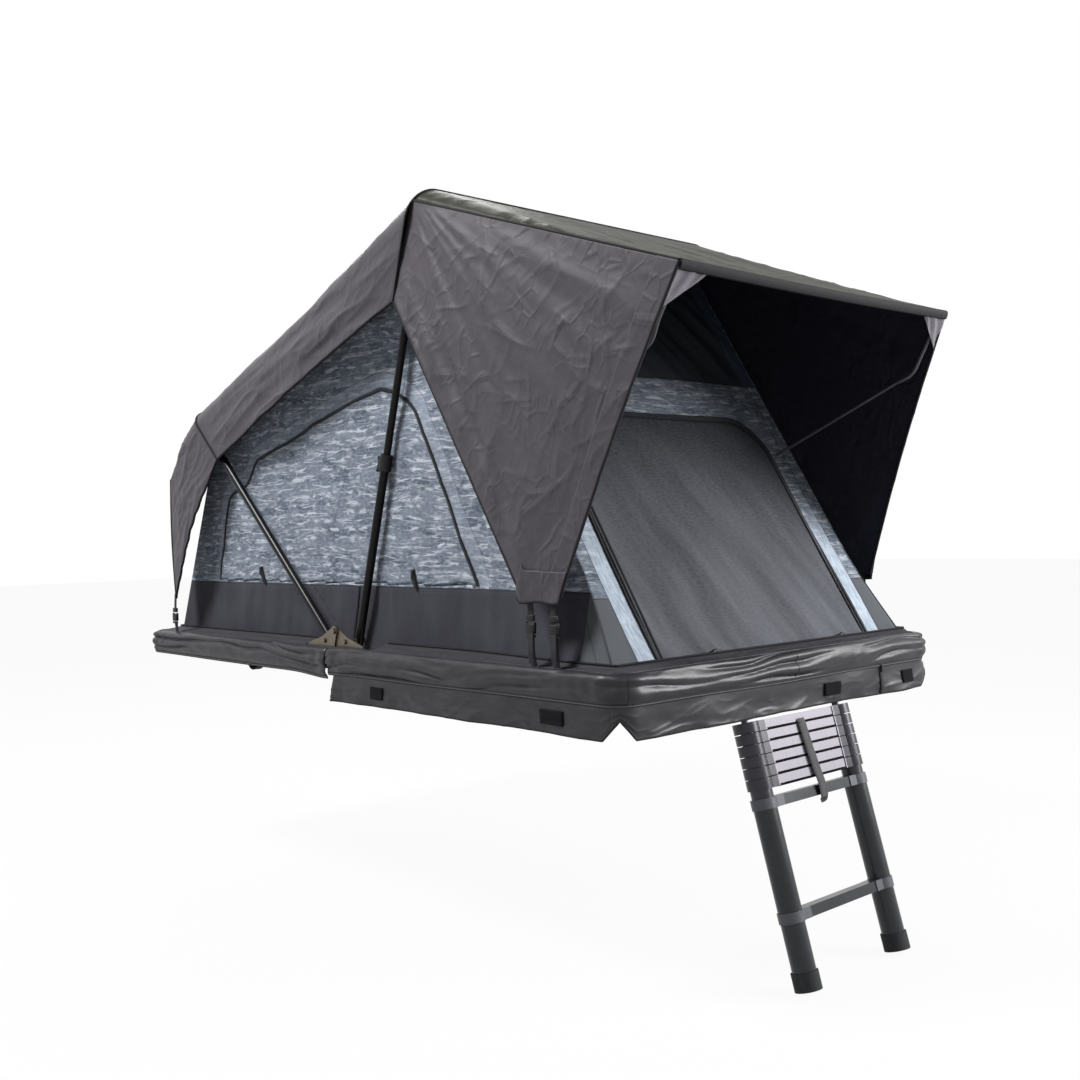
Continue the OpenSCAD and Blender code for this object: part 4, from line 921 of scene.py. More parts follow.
def makeLadderSection():               # pale rungs between darker glossy collars
    f = Finish("ladderSection")
    spot = f.place()
    _, across, _ = f.split(spot)
    side = abs(across)
    brushed = f.noise(f.stretch(spot, (4.0, 220.0, 4.0)), 1.0, 3.0, 0.6)
    cloud = f.noise(spot, 14.0, 4.0)
    pale = f.mix(brushed, srgb(110, 108, 115), srgb(134, 131, 139))
    dark = f.mix(cloud, srgb(30, 30, 35), srgb(58, 57, 64))
    isCollar = side.above(0.148, 0.001)
    f.put("Base Color", f.mix(isCollar, pale, dark))
    f.put("Metallic", 0.3 + isCollar * 0.1)
    f.put("Roughness", brushed * 0.14 + (0.46 - isCollar * 0.22))
    f.put("Specular IOR Level", 0.4)
    f.bump(brushed, 0.12, 0.0005)
    return f


wallCloth = makeWallCloth()
doorWallCloth = makeDoorWallCloth()
insectMesh = makeMesh()
flyCloth = makeFlyCloth("flyNylon", srgb(66, 63, 68), srgb(50, 48, 52), 0.46, 0.2, 0.5)
# the last colour is for the inward faces: painted shade under the awning
awningSideCloth = makeFlyCloth("awningSideNylon", srgb(72, 69, 74), srgb(58, 55, 60), 0.52, 0.11, 0.85,
                               srgb(40, 40, 49))
awningCloth = makeFlyCloth("awningTopNylon", srgb(46, 46, 37), srgb(20, 20, 17), 0.46, 0.08, 0.7)
# gussets: real corner patches, their paler lilac a painted highlight
gussetCloth = makeFlyCloth("gussetNylon", srgb(112, 108, 116), srgb(86, 83, 90), 0.42)
coverVinyl = makeVinyl()
stitchedWelt = makeWelt()
loopPatch = makeLoopPatch()
zipTape = makeTape("zipTape", srgb(30, 30, 32), srgb(62, 62, 66))
bandZip = makeTape("bandZip", srgb(40, 39, 43), srgb(118, 114, 112), 0.0042)
piping = makeWebbing("blackPiping", srgb(34, 33, 36), srgb(22, 22, 24))
webbing = makeWebbing("blackWebbing", srgb(46, 46, 48), srgb(30, 30, 32))
greyWebbing = makeWebbing("greyWebbing", srgb(84, 84, 86), srgb(62, 62, 64))
blackTube = makePlain("blackTube", srgb(20, 20, 22), srgb(11, 11, 13), 0.28, 500.0, 0.03, 0.0, 0.12)
strutSteel = makePlain("strutSteel", srgb(74, 74, 79), srgb(52, 52, 57), 0.34, 500.0, 0.05, 0.0, 0.3)
blackPlastic = makePlain("blackPlastic", srgb(26, 26, 28), srgb(15, 15, 17), 0.45, 900.0, 0.3)
alloy = makeMetal("millAlloy", srgb(205, 206, 208), srgb(160, 161, 165), 0.38, (220.0, 4.0, 4.0))
plated = makeMetal("platedSteel", srgb(150, 140, 126), srgb(58, 52, 46), 0.4, (85.0, 85.0, 85.0))
bronze = makeMetal("bronzePlate", srgb(122, 104, 78), srgb(78, 64, 48), 0.42, (60.0, 60.0, 60.0))
board = makePlain("floorPanel", srgb(206, 206, 202), srgb(186, 186, 182), 0.55, 300.0, 0.15)
foamCover = makePlain("foamCover", srgb(92, 92, 97), srgb(72, 72, 78), 0.85, 1200.0, 0.4)
ladderAlloy = makeLadderSection()
ladderDark = makePlain("ladderGunmetal", srgb(36, 39, 43), srgb(25, 27, 31), 0.28, 500.0, 0.06, 0.0, 0.32)
collarGrey = makePlain("collarGrey", srgb(80, 81, 88), srgb(64, 65, 72), 0.38, 600.0, 0.15, 0.0, 0.32)
footRubber = makePlain("footRubber", srgb(44, 45, 47), srgb(30, 31, 33), 0.75, 400.0, 0.4)
# near-black sheets in the gaps between rungs and strips over their lower edges: painted shade where the rungs
# meet
padRubber = makePlain("padRubber", srgb(13, 13, 14), srgb(7, 7, 8), 0.85, 400.0, 0.3, 0.0, 0.06)

nodeFinish = {
    alloy: ["rack_rails", "fixed_frame", "fixed_crossbars", "fold_frame", "fold_crossbars"],
    plated: ["rail_bolts", "fixed_hinge_leaves", "fixed_leaf_bolts", "hinge_pins", "rear_pivot_bolts",
             "fold_hinge_leaves", "fold_leaf_bolts", "ridge_pivot_bolts", "door_brackets"],
    bronze: ["ladder_brackets", "ladder_pins"],
    blackTube: ["rear_bow_legs", "rear_bow_bar", "ridge_lower_legs", "ridge_upper_legs", "ridge_bar",
                "door_bow_legs", "door_bow_bar"],
    strutSteel: ["strut_near", "strut_far"],
    blackPlastic: ["rear_bow_corners", "ridge_corners", "door_bow_corners", "ridge_clamps",
                   "clamp_lever_near", "clamp_lever_far"],
    board: ["fixed_floor", "fold_floor"],
    ladderAlloy: ["ladder_section_%d" % i for i in range(1, 7)],
    ladderDark: ["ladder_bottom"],
    collarGrey: ["ladder_collars"],
    footRubber: ["ladder_feet"],
}
for finish, names in nodeFinish.items():
    for name in names:
        wear(nodes[name], finish)
print("finishes made")

# Tent body: side walls with a window flap each

sideWall = {
    "columns": 240, "rows": 130, "thick": 0.0012, "y": 0.5585, "mostOut": 0.003,
    "window": [(-0.838, 0.2), (-0.815, 0.285), (-0.79, 0.359), (-0.762, 0.44), (-0.74, 0.48), (-0.695, 0.5),
               (-0.632, 0.513), (-0.592, 0.542), (-0.555, 0.588), (-0.50, 0.609), (-0.151, 0.699),
               (0.117, 0.757), (0.186, 0.757), (0.265, 0.729), (0.325, 0.684), (0.365, 0.622),
               (0.399, 0.56), (0.578, 0.2)],
    "snap": 0.0055,                    # grid points this near the window's edge move on to it
    "stripReach": 0.1,                 # twice the width of the storm strip
    "flapOut": 0.0016,
    "zipWidth": 0.0105, "zipThick": 0.0022, "zipLift": 0.0032,
    "seams": [(-0.012, 0.018), (0.01, 0.04)],      # foot and head of the seams in the lower band
    "seamWidth": 0.008, "seamThick": 0.0016, "seamLift": 0.0018,
}
footSpread = {"from": 0.5, "over": 0.55, "out": 0.058, "sideHeight": 0.24, "doorHeight": 0.28, "power": 1.2}


def insideDistance(x, z):              # metres inside the side wall's outline
    corners = [(-tent["wallFoot"], 0.0), (tent["wallFoot"], 0.0), tuple(ridgeTop), tuple(rearTop)]
    best = np.full(np.shape(x), 9.0)
    for (ax, az), (bx, bz) in zip(corners, corners[1:] + corners[:1]):
        d = ((bx - ax) * (z - az) - (bz - az) * (x - ax)) / math.hypot(bx - ax, bz - az)
        best = np.minimum(best, d)
    return best


def nearFoot(up, height):              # 1 at the foot, 0 from height on
    return np.clip(1 - up / height, 0, 1) ** footSpread["power"]


def cornerFlare(x, z):                 # the body's foot spreads out towards the front corners
    t = np.clip((x - footSpread["from"]) / footSpread["over"], 0, 1)
    return footSpread["out"] * t * t * (3 - 2 * t) * nearFoot(z, footSpread["sideHeight"])


def wallOut(x, z):                     # how far the side wall's cloth stands out, in metres
    upper = fadeIn(z - tent["bandTop"], 8)
    out = layered(x * 2.6, z * 1.5, 11) * 0.010
    out += latticeNoise(x * 9 - z * 2.5, z * 1.3, 17) * 0.007 * fadeIn(x + 0.05, 4) * upper
    out += latticeNoise(x * 5 + z * 9, z * 4 - x * 5, 23) * 0.006 * fadeIn(z - 0.5, 5)
    out += latticeNoise(x * 16, z * 2.2, 31) * 0.006 * (1 - upper)
    out += crease(x * 9, z * 4, 37) * 0.003 - 0.003
    out = out * fadeIn(insideDistance(x, z), 8)
    most = sideWall["mostOut"]         # past this the cloth is held back
    return np.where(out > most, most + (out - most) * 0.12, out)


def onWall(x, z, lift):                # points on the near side wall, lift metres out from its cloth
    return np.stack([x, -sideWall["y"] - wallOut(x, z) - lift, z], -1)


def markBeside(item, line, reach):     # a second map: 1 on the line, 0 at reach from it
    flat = readCut(item.data)
    best = np.full(len(flat), 9.0)
    for a, b in zip(line[:-1], line[1:]):
        span = max(float(np.dot(b - a, b - a)), 1e-12)
        t = np.clip((flat - a) @ (b - a) / span, 0, 1)[:, None]
        best = np.minimum(best, np.linalg.norm(flat - a - t * (b - a), axis=1))
    mark = np.stack([np.clip(1 - best / reach, 0, 1), 0 * best], -1)
    item.data.uv_layers.new(name="mark").data.foreach_set("uv", mark.astype(np.float32).ravel())
    return item


def buildSideWalls():
    s = sideWall
    u, v = np.meshgrid(steps(0, 1, s["columns"]), steps(0, 1, s["rows"]), indexing="ij")
    foot = np.stack([-tent["wallFoot"] + 2 * tent["wallFoot"] * u, 0.001 + 0 * u], -1)
    head = rearTop + (ridgeTop - rearTop) * u[..., None]
    flat = foot * (1 - v[..., None]) + head * v[..., None]
    outline = smoothLine(s["window"], 8)
    x, z = snapTo(flat[..., 0], flat[..., 1], outline, s["snap"])
    inWindow = withinOutline(cellMiddles(x), cellMiddles(z), outline)
    points = onWall(x, z, cornerFlare(x, z))
    cut = np.stack([x, z], -1)
    wall = markBeside(gridPiece("sideWall", points, cut, keep=~inWindow), outline, s["stripReach"])
    wear(wall, wallCloth)
    puff = 0.004 * np.clip(layered(x * 3 + 5, z * 2, 43), 0, 1) * fadeIn(insideDistance(x, z), 8) * 0.3
    points[..., 1] -= s["flapOut"] + puff
    flap = wear(gridPiece("windowFlap", points, cut, keep=inWindow), wallCloth)
    line = onWall(*evenLine(outline, 0.006).T, s["zipLift"])
    zipper = wear(ribbonPiece("windowZip", line, s["zipWidth"], s["zipThick"], nearFace, 0.25), zipTape)
    seams = []
    for low, high in s["seams"]:
        line = onWall(steps(low, high, 40), steps(0.004, tent["bandTop"], 40), s["seamLift"])
        seams.append(ribbonPiece("bandSeam", line, s["seamWidth"], s["seamThick"], nearFace))
    seam = wear(joined("bandSeam", seams), piping)
    kinds = ((wall, "camo_cloth", ("side_walls",)), (flap, "window_cloth", ("window_panels",)),
             (zipper, "webbing", ()), (seam, "webbing", ()))
    for item, slot, replaced in kinds:
        base, isCloth = item.name, slot != "webbing"
        for part, sector in bySector(item, base + "Near"):
            if isCloth:
                thicken(part, s["thick"])
            for each in bothSides(soften(part), base + "Far" + sector):
                foldCloth(each, sector, replaced)
                if isCloth:
                    declareCloth(each)


buildSideWalls()

wallTabs = {"near": [(-0.543, 0.245, -0.528), (0.308, 0.24, 0.319)], "drop": 0.052,
            "width": 0.014, "thick": 0.004, "lift": 0.0045, "bow": 0.004, "toggle": (0.010, 0.006, 0.026)}


def buildWallTabs():                   # webbing tabs with a toggle that hold a rolled flap
    t = wallTabs
    for i, (x0, z0, x1) in enumerate(t["near"]):
        bow = t["bow"] * np.sin(steps(0, math.pi, 9))
        line = onWall(steps(x0, x1, 9), steps(z0, z0 - t["drop"], 9), t["lift"] + bow)
        tab = ribbonPiece("wallTab%d" % i, line, t["width"], t["thick"], nearFace, 0.3)
        middle = (x0 + 0.003, line[3, 1] - 0.003, z0 - 0.014)
        knob = boxPiece("wallToggle%d" % i, middle, t["toggle"], 0.0025)
        item = joined("wallTabNear%d" % i, [wear(tab, webbing), wear(knob, webbing)])
        sector = "Front" if x0 > 0 else "Rear"
        for each in bothSides(item, "wallTabFar%d" % i):
            foldCloth(each, sector)


buildWallTabs()
print("side walls made")

rearWall = {"columns": 150, "rows": 90, "halfWidth": 0.5565, "inset": 0.004, "tuck": 0.03, "thick": 0.0012}


def buildRearWall():
    r = rearWall
    foot = np.array([-tent["wallFoot"] + r["inset"], 0.0])
    head = rearTop + np.array([r["inset"], r["tuck"]])
    length = np.linalg.norm(head - foot)
    up = (head - foot) / length
    out = np.array([-up[1], up[0]])
    y, s = np.meshgrid(steps(-r["halfWidth"], r["halfWidth"], r["columns"]), steps(0, length, r["rows"]),
                       indexing="ij")
    hold = fadeIn(r["halfWidth"] - np.abs(y), 9) * fadeIn(s, 9) * fadeIn(length - s, 9)
    n = (layered(y * 2.4, s * 1.6, 211) * 0.008 + crease(y * 7, s * 3, 217) * 0.003 - 0.004) * hold - 0.002
    x = foot[0] + up[0] * s + out[0] * n
    z = np.maximum(foot[1] + up[1] * s + out[1] * n, 0.001)
    item = clothPiece("rearWall", np.stack([x, y, z], -1), np.stack([y, s], -1), r["thick"], wallCloth)
    foldCloth(item, "Rear", ("rear_wall",))
    declareCloth(item)


buildRearWall()


def underBars(t, down):                # a point between the bars, moved down along the bows' legs
    t = np.asarray(t)[..., None]
    along = rearBar * (1 - t) + ridgeBar * t
    return along - (rearUp * (1 - t) + ridgeUp * t) * np.asarray(down)[..., None]


innerRoof = {"rows": 70, "columns": 60, "arcColumns": 12, "flat": 0.5095, "radius": 0.0505, "sag": 0.006,
             "thick": 0.0012, "cutStart": 0.3}


def buildInnerRoof():
    r = innerRoof
    turn = np.radians(steps(90, 0, r["arcColumns"]))
    edge = -(r["flat"] + r["radius"] * np.sin(turn))
    y = np.concatenate([edge[:-1], steps(-r["flat"], r["flat"], r["columns"]), -edge[::-1][1:]])
    arc = r["radius"] * np.cos(turn)
    climb = np.concatenate([arc[:-1], np.full(r["columns"], r["radius"]), arc[::-1][1:]])
    t, yy = np.meshgrid(steps(0, 1, r["rows"]), y, indexing="ij")
    flat = underBars(t, tent["bendR"] - np.broadcast_to(climb, t.shape))
    sag = r["sag"] * np.sin(math.pi * t) * np.broadcast_to(climb / r["radius"], t.shape)
    points = np.stack([flat[..., 0], yy, flat[..., 1] + 0.001 - sag], -1)
    across = runAlong(points[r["rows"] // 2]) + r["cutStart"]
    cut = np.stack([t * np.linalg.norm(ridgeBar - rearBar), np.broadcast_to(across, t.shape)], -1)
    item = clothPiece("innerRoof", points, cut, r["thick"], wallCloth, flip=True)
    foldCloth(item, "Mid", ("roof_panel",))
    declareCloth(item)


buildInnerRoof()
print("rear wall and inner roof made")

# Door wall with its mesh door

doorWall = {"columns": 190, "rows": 236, "halfWidth": 0.5565, "foot": (1.1285, 0.0005), "length": 1.389,
            "shoulder": 0.0475, "door": 0.442, "doorTop": 0.775, "doorR": 0.13, "snap": 0.0034,
            "thick": 0.0012, "meshThick": 0.001, "trimFoot": 0.004,
            "zipInset": -0.003, "zipWidth": 0.013, "zipThick": 0.0026,
            "bindingInset": 0.012, "bindingWidth": 0.006, "bindingThick": 0.0018}


def doorPoint(y, s, n):                # s metres up the door wall, n metres out from it
    x = doorWall["foot"][0] + doorUp[0] * s + doorOut[0] * n
    z = doorWall["foot"][1] + doorUp[1] * s + doorOut[1] * n
    return np.stack(np.broadcast_arrays(x, y, z), -1)


def doorLine(inset=0.0):               # the door's edge, up one side, over and down the other
    d = doorWall
    w, top, r = d["door"] - inset, d["doorTop"] - inset, d["doorR"]
    turn = np.radians(steps(180, 90, 14))
    left = np.stack([-(w - r) + r * np.cos(turn), top - r + r * np.sin(turn)], -1)
    right = np.stack([-left[::-1, 0], left[::-1, 1]], -1)
    return np.concatenate([[[-w, 0.0]], left, right, [[w, 0.0]]])


def doorTrim(inset):                   # a line beside the door's edge, clear of the deck
    line = evenLine(doorLine(inset), 0.006)
    return line[line[:, 1] > doorWall["trimFoot"]].T


def doorBulge(y, s):                   # how far the door wall's cloth stands out, in metres
    d = doorWall
    hold = fadeIn(d["halfWidth"] - np.abs(y), 12) * fadeIn(s, 10) * fadeIn(d["length"] - s, 6)
    high = fadeIn(s - doorPlan["bandHigh"], 6)
    out = layered(y * 2.2, s * 2.0, 311) * 0.006
    out += latticeNoise(y * 13 + s * 8, s * 1.6, 317) * 0.016 * high
    out += crease(y * 10 + s * 5, s * 3, 323) * 0.004 * high - 0.003
    return out * hold


def buildDoorWall():
    d = doorWall
    u, v = np.meshgrid(steps(-1, 1, d["columns"]), steps(0, 1, d["rows"]), indexing="ij")
    y = u * d["halfWidth"]
    over = np.clip(np.abs(y) - (d["halfWidth"] - d["shoulder"]), 0, d["shoulder"])
    s = v * (d["length"] + np.sqrt(np.maximum(d["shoulder"] ** 2 - over ** 2, 0)))
    outline = evenLine(doorLine(), 0.01)
    y, s = snapTo(y, s, outline, d["snap"])
    closedOutline = np.concatenate([outline, [[d["door"], -0.1], [-d["door"], -0.1]]])
    inDoor = withinOutline(cellMiddles(y), cellMiddles(s), closedOutline)
    cut = np.stack([y, s], -1)
    spread = np.clip((np.abs(y) - doorPlan["stripOut"]) / (d["halfWidth"] - doorPlan["stripOut"]), 0, 1)
    y = y + np.sign(y) * spread * footSpread["out"] * nearFoot(s, footSpread["doorHeight"])
    points = doorPoint(y, s, doorBulge(y, s) - 0.0015)
    wall = clothPiece("doorWall", points, cut, d["thick"], doorWallCloth, keep=~inDoor)
    foldCloth(wall, "Front", ("door_wall",))
    declareCloth(wall)
    loose = fadeIn(d["door"] - np.abs(y), 10) * fadeIn(d["doorTop"] - s, 10) * fadeIn(s, 12)
    sagged = layered(y * 2.0, s * 2.4, 331) * 0.010 - 0.006
    sagged += latticeNoise(y * 3 + s * 7, s * 2 - y * 3, 337) * 0.004
    points = doorPoint(y, s, sagged * loose - 0.0005)
    mesh = clothPiece("meshDoor", points, cut, d["meshThick"], insectMesh, keep=inDoor)
    foldCloth(mesh, "Front", ("mesh_door",))
    face = (doorOut[0], 0, doorOut[1])
    y, s = doorTrim(d["zipInset"])
    line = doorPoint(y, s, doorBulge(y, s) + 0.0016)
    tape = wear(ribbonPiece("doorZip", line, d["zipWidth"], d["zipThick"], face, 0.3), zipTape)
    line = doorPoint(*doorTrim(d["bindingInset"]), 0.0012)
    binding = wear(ribbonPiece("doorBinding", line, d["bindingWidth"], d["bindingThick"], face), piping)
    for item in (tape, binding):
        foldCloth(item, "Front")
    declareCloth(mesh)


buildDoorWall()

doorToggles = {
    "places": (-0.245, 0.305),
    "cord": [(-0.028, 0.020), (-0.012, 0.028), (0.004, 0.022), (0.020, 0.030), (0.034, 0.022)],
    "cordR": 0.0028, "cordOut": 0.008,
    "knobs": [(-0.012, 0.024, 25), (0.012, 0.026, -15)],   # across, up, turn in degrees
    "knob": (0.010, 0.028, 0.010), "knobOut": 0.011,
}


def buildDoorToggles():                # cord loops with a toggle at the foot of the door
    d = doorToggles
    for i, y in enumerate(d["places"]):
        loop = smoothLine([(y + across, up) for across, up in d["cord"]], 8)
        line = doorPoint(loop[:, 0], loop[:, 1], d["cordOut"])
        pieces = [wear(pipePiece("doorCord%d" % i, line, d["cordR"]), piping)]
        for across, up, degrees in d["knobs"]:
            middle = doorPoint(y + across, up, d["knobOut"])
            turn = Matrix.Rotation(math.radians(degrees), 3, "X")
            pieces.append(wear(boxPiece("doorKnob", middle, d["knob"], 0.004, turn), blackPlastic))
        foldCloth(joined("doorToggle%d" % i, pieces), "Front")


buildDoorToggles()
print("door wall made")

# Fly: roof sheet, rear fall, awning, with their hems

fly = {"along": 150, "flatCols": 90, "arcCols": 14, "hangCols": 40, "hemRear": 0.248, "hemRidge": 0.290,
       "thick": 0.0012, "pipe": 0.0042, "seamPipe": 0.0032}


def flyColumns():                      # across the roof: (y, share of the hang, climb over the shoulder)
    r, flat = tent["flyR"], tent["flyFlat"]
    columns = []
    for h in steps(1, 0, fly["hangCols"])[:-1]:
        columns.append((-(flat + r), h, 0.0))
    for a in steps(90, 0, fly["arcCols"])[:-1]:
        columns.append((-(flat + r * math.sin(math.radians(a))), 0.0, r * math.cos(math.radians(a))))
    half = list(columns)
    for y in steps(-flat, flat, fly["flatCols"]):
        columns.append((y, 0.0, r))
    return np.array(columns + [(-y, h, c) for y, h, c in half[::-1]])


def buildRoofSheet():
    columns = flyColumns()
    t, y = np.meshgrid(steps(0, 1, fly["along"]), columns[:, 0], indexing="ij")
    hang = np.broadcast_to(columns[:, 1], t.shape)
    climb = np.broadcast_to(columns[:, 2], t.shape)
    hem = fly["hemRear"] * (1 - t) + fly["hemRidge"] * t
    flat = underBars(t, tent["bendR"] + (hem - tent["bendR"]) * hang - climb)
    points = np.stack([flat[..., 0], y, flat[..., 1]], -1)
    v = np.broadcast_to(runAlong(points[fly["along"] // 2]), t.shape)
    u = t * np.linalg.norm(ridgeBar - rearBar)
    normal = gridNormals(points)
    normal *= np.sign(np.sum(normal * np.stack([0 * y, y, 0 * y + 0.4], -1), axis=2, keepdims=True))
    free = np.sin(math.pi * t) ** 0.7
    onSide = fadeIn(hang, 3)
    top = np.clip(1 - hang * 6, 0, 1) * np.clip(climb / tent["flyR"], 0, 1)
    wave = layered(u * 2.0, v * 5.0, 41) * 0.007 * free * top - 0.013 * np.sin(math.pi * t) * top
    tilt = u * 0.55                    # the hang's folds run a little steeper than the hem
    pleats = (0.5 + 0.5 * latticeNoise(u * 1.6, (v + tilt * 0.05) * 19.0, 61)) * 0.022 * onSide * free
    pleats += crease(u * 2.6, v * 15.0, 71) * 0.007 * np.maximum(onSide, 0.45) * free
    fine = crease(u * 11 + v * 4, v * 12, 81) * 0.0022 * fadeIn(free, 2)
    points = points + normal * (wave + pleats + fine + 0.0015)[..., None]
    sheet = clothPiece("roofSheet", points, np.stack([u, v], -1), fly["thick"], flyCloth)
    foldCloth(sheet, "Mid", ("roof_fly",))
    for k, name in ((0, "roofHemNear"), (-1, "roofHemFar")):
        cordPiece(name, points[:, k], fly["pipe"], "Mid")
    for k, name in ((0, "roofSeamRear"), (-1, "roofSeamRidge")):
        cordPiece(name, points[k] + normal[k] * 0.002, fly["seamPipe"], "Mid")
    declareCloth(sheet)


buildRoofSheet()
print("roof sheet made")

rearFall = {"rows": 70, "hem": (-1.04, 0.556), "tie": (-1.005, 0.135), "flare": 0.008}


def buildRearFall():
    f = rearFall
    columns = flyColumns()
    side, sign = columns[:, 1], np.sign(columns[:, 0])
    drop = tent["bendR"] + (fly["hemRear"] - tent["bendR"]) * side - columns[:, 2]
    top = underBars(np.zeros(len(columns)), drop)
    top = np.stack([top[:, 0] - 0.0015, columns[:, 0], top[:, 1] - 0.001], -1)
    hem, tie = np.array(f["hem"]), np.array(f["tie"])
    bend = np.clip(side, 0, 1) ** 0.9
    footFlat = hem + (tie - hem) * bend[:, None]
    foot = np.stack([footFlat[:, 0] - 0.012 * np.sin(math.pi * bend),
                     columns[:, 0] + sign * f["flare"] * side, footFlat[:, 1]], -1)
    t = steps(0, 1, f["rows"])[:, None, None]
    points = top * (1 - t) + foot * t
    t = t[..., 0]
    bulge = np.sin(math.pi * t)
    points[..., 0] -= 0.011 * bulge * (1 - side)
    points[..., 1] += 0.012 * bulge * side * sign
    u = np.broadcast_to(runAlong(foot), points.shape[:2])
    v = -t * np.broadcast_to(np.linalg.norm(foot - top, axis=1), u.shape)
    normal = gridNormals(points)
    wish = np.stack([-(1 - side), sign * side, 0.1 + 0 * side], -1)[None]
    normal *= np.sign(np.sum(normal * wish, axis=2, keepdims=True))
    loose = bulge ** 0.6 + 0 * u
    wave = (0.5 + 0.5 * latticeNoise(u * 9, v * 6, 91)) * 0.012 * loose
    wave += crease(u * 13, v * 7, 95) * 0.005 * loose
    wave += crease(u * 16 + v * 8, v * 18, 97) * 0.002 * loose
    points = points + normal * (wave + 0.001)[..., None]
    sheet = clothPiece("rearFall", points, np.stack([u, v], -1), fly["thick"], flyCloth, flip=True)
    foldCloth(sheet, "Rear", ("rear_fly",))
    edges = [cordPiece("rearFallHem", points[-1], fly["pipe"], "Rear")]
    for k, name in ((0, "rearFallEdgeNear"), (-1, "rearFallEdgeFar")):
        edges.append(cordPiece(name, points[:, k], fly["pipe"], "Rear"))
    declareCloth(sheet)


buildRearFall()
print("rear fall made")

awning = {
    "front": (1.316, 0.927), "halfWidth": 0.566, "sag": 0.026, "seamTurn": 55.0, "rows": 90, "columns": 110,
    "cutLength": 0.96, "seamPipe": 0.0036, "hemWidth": 0.026, "hemThick": 0.009,
    "sideGrid": 210, "tie": 0.93, "tieWidth": 0.135, "tieZ": 0.182, "tieOut": 0.02, "knee": 0.8,
    "bulge": 0.024, "frontBow": -0.012,
    "fanFrom": (0.33, 1.35),           # the long folds of the sides run from here
    "rearEdge": ((0.331, 0.984), (0.834, 0.5525)),   # a point of the sides' rear edge, and the way in from it
    "facing": 15, "facingThick": 0.0016, "facingCut": 0.37,
    "flap": 18, "flapThick": 0.002, "flapCut": 0.71, "flapPipe": 0.003,
    "gusset": (0.13, 0.11), "gussetGrid": 26, "gussetThick": 0.0014,
    "sleeve": [(1.170, 0.5462, 0.7429), (1.2148, 0.5536, 0.7647), (1.246, 0.5575, 0.818),
               (1.298, 0.552, 0.904)],
    "sleeveR": 0.0056,
}


def awningSeam():
    turn = math.radians(awning["seamTurn"])
    at = underBars(np.array(1.0), np.array(tent["bendR"] - tent["flyR"] * math.cos(turn)))
    return np.array([at[0] + 0.0012, tent["flyFlat"] + tent["flyR"] * math.sin(turn), at[1]])


def buildAwningTop():
    a = awning
    seam = awningSeam()
    t, w = np.meshgrid(steps(0, 1, a["rows"]), steps(-1, 1, a["columns"]), indexing="ij")
    y0 = w * seam[1]
    over = np.clip(np.abs(y0) - tent["flyFlat"], 0, None)
    ridge = underBars(np.ones_like(t), tent["bendR"] - np.sqrt(np.maximum(tent["flyR"] ** 2 - over ** 2, 0)))
    x = (ridge[..., 0] + 0.0012) * (1 - t) + a["front"][0] * t
    z = ridge[..., 1] * (1 - t) + a["front"][1] * t - a["sag"] * np.sin(math.pi * t) * (1 - w * w)
    y = y0 * (1 - t) + w * a["halfWidth"] * t
    loose = np.sin(math.pi * t) ** 0.7 * (1 - np.abs(w) ** 6)
    z = z + loose * (layered(x * 3, y * 5, 101) * 0.005 + crease(x * 5, y * 9, 105) * 0.004) + 0.0015
    pucker = np.exp(-(1 - np.abs(w)) / 0.16) * np.sin(math.pi * t) ** 0.5 * fadeIn(1 - np.abs(w), 30)
    z = z + crease(x * 11, y * 12, 107) * 0.006 * pucker
    points = np.stack([x, y, z], -1)
    cut = np.stack([y, t * a["cutLength"]], -1)
    sheet = clothPiece("awningTop", points, cut, fly["thick"], awningCloth, flip=True)
    foldCloth(sheet, "Front", ("awning_top",))
    front = evenLine(points[-1] + np.array([0.001, 0, -0.009]), 0.01)
    front[:, 2] -= 0.004 * np.sin(steps(0, math.pi, len(front)))
    hem = ribbonPiece("awningFrontHem", front, a["hemWidth"], a["hemThick"], (1, 0, -0.25), 0.25)
    pipes = [foldCloth(wear(hem, piping), "Front")]
    for k, name in ((0, "awningSeamNear"), (-1, "awningSeamFar")):
        pipes.append(cordPiece(name, points[:, k], a["seamPipe"], "Front"))
    declareCloth(sheet)


def awningSideEdges(t):
    a = awning
    seam = awningSeam()
    front = np.array([a["front"][0], a["halfWidth"], a["front"][1]])
    hem = underBars(np.array(1.0), np.array(fly["hemRidge"]))
    corner = np.array([hem[0] + 0.001, tent["flyFlat"] + tent["flyR"], hem[1]])
    tieRear = np.array([a["tie"] - a["tieWidth"] / 2, corner[1] + a["tieOut"], a["tieZ"]])
    t = np.asarray(t)[..., None]
    upper = seam * (1 - t) + front * t
    q = np.clip(t / a["knee"], 0, 1)
    w = np.clip((t - a["knee"]) / (1 - a["knee"]), 0, 1)
    return upper, corner * (1 - q) + tieRear * q + np.array([a["tieWidth"], 0, 0]) * w


def straightCreases(x, z, seed, count, reach, height, width):   # short sharp folds at many angles
    rng = np.random.default_rng(seed)
    total = np.zeros(np.shape(x))
    for _ in range(count):
        cx, cz = rng.uniform(x.min(), x.max()), rng.uniform(z.min(), z.max())
        turn = rng.normal(1.15, 0.75)
        length = rng.uniform(0.35, 1.0) * reach
        along = (x - cx) * math.cos(turn) + (z - cz) * math.sin(turn)
        across = (z - cz) * math.cos(turn) - (x - cx) * math.sin(turn) + 0.012 * np.sin(along / length * 2.0)
        window = np.clip(1 - (along / length) ** 2, 0, 1)
        tall = rng.uniform(0.3, 1.0) * height
        total += tall * window * np.exp(-np.abs(across) / (width * rng.uniform(0.6, 1.6)))
    return total


def markInside(item, outward):         # a second map: 1 on the faces that look inwards
    layer = item.data.uv_layers.new(name="mark")
    for face in item.data.polygons:
        inside = 1.0 if face.normal.y * outward < 0 else 0.0
        for k in face.loop_indices:
            layer.data[k].uv = (inside, 0.0)
    return item


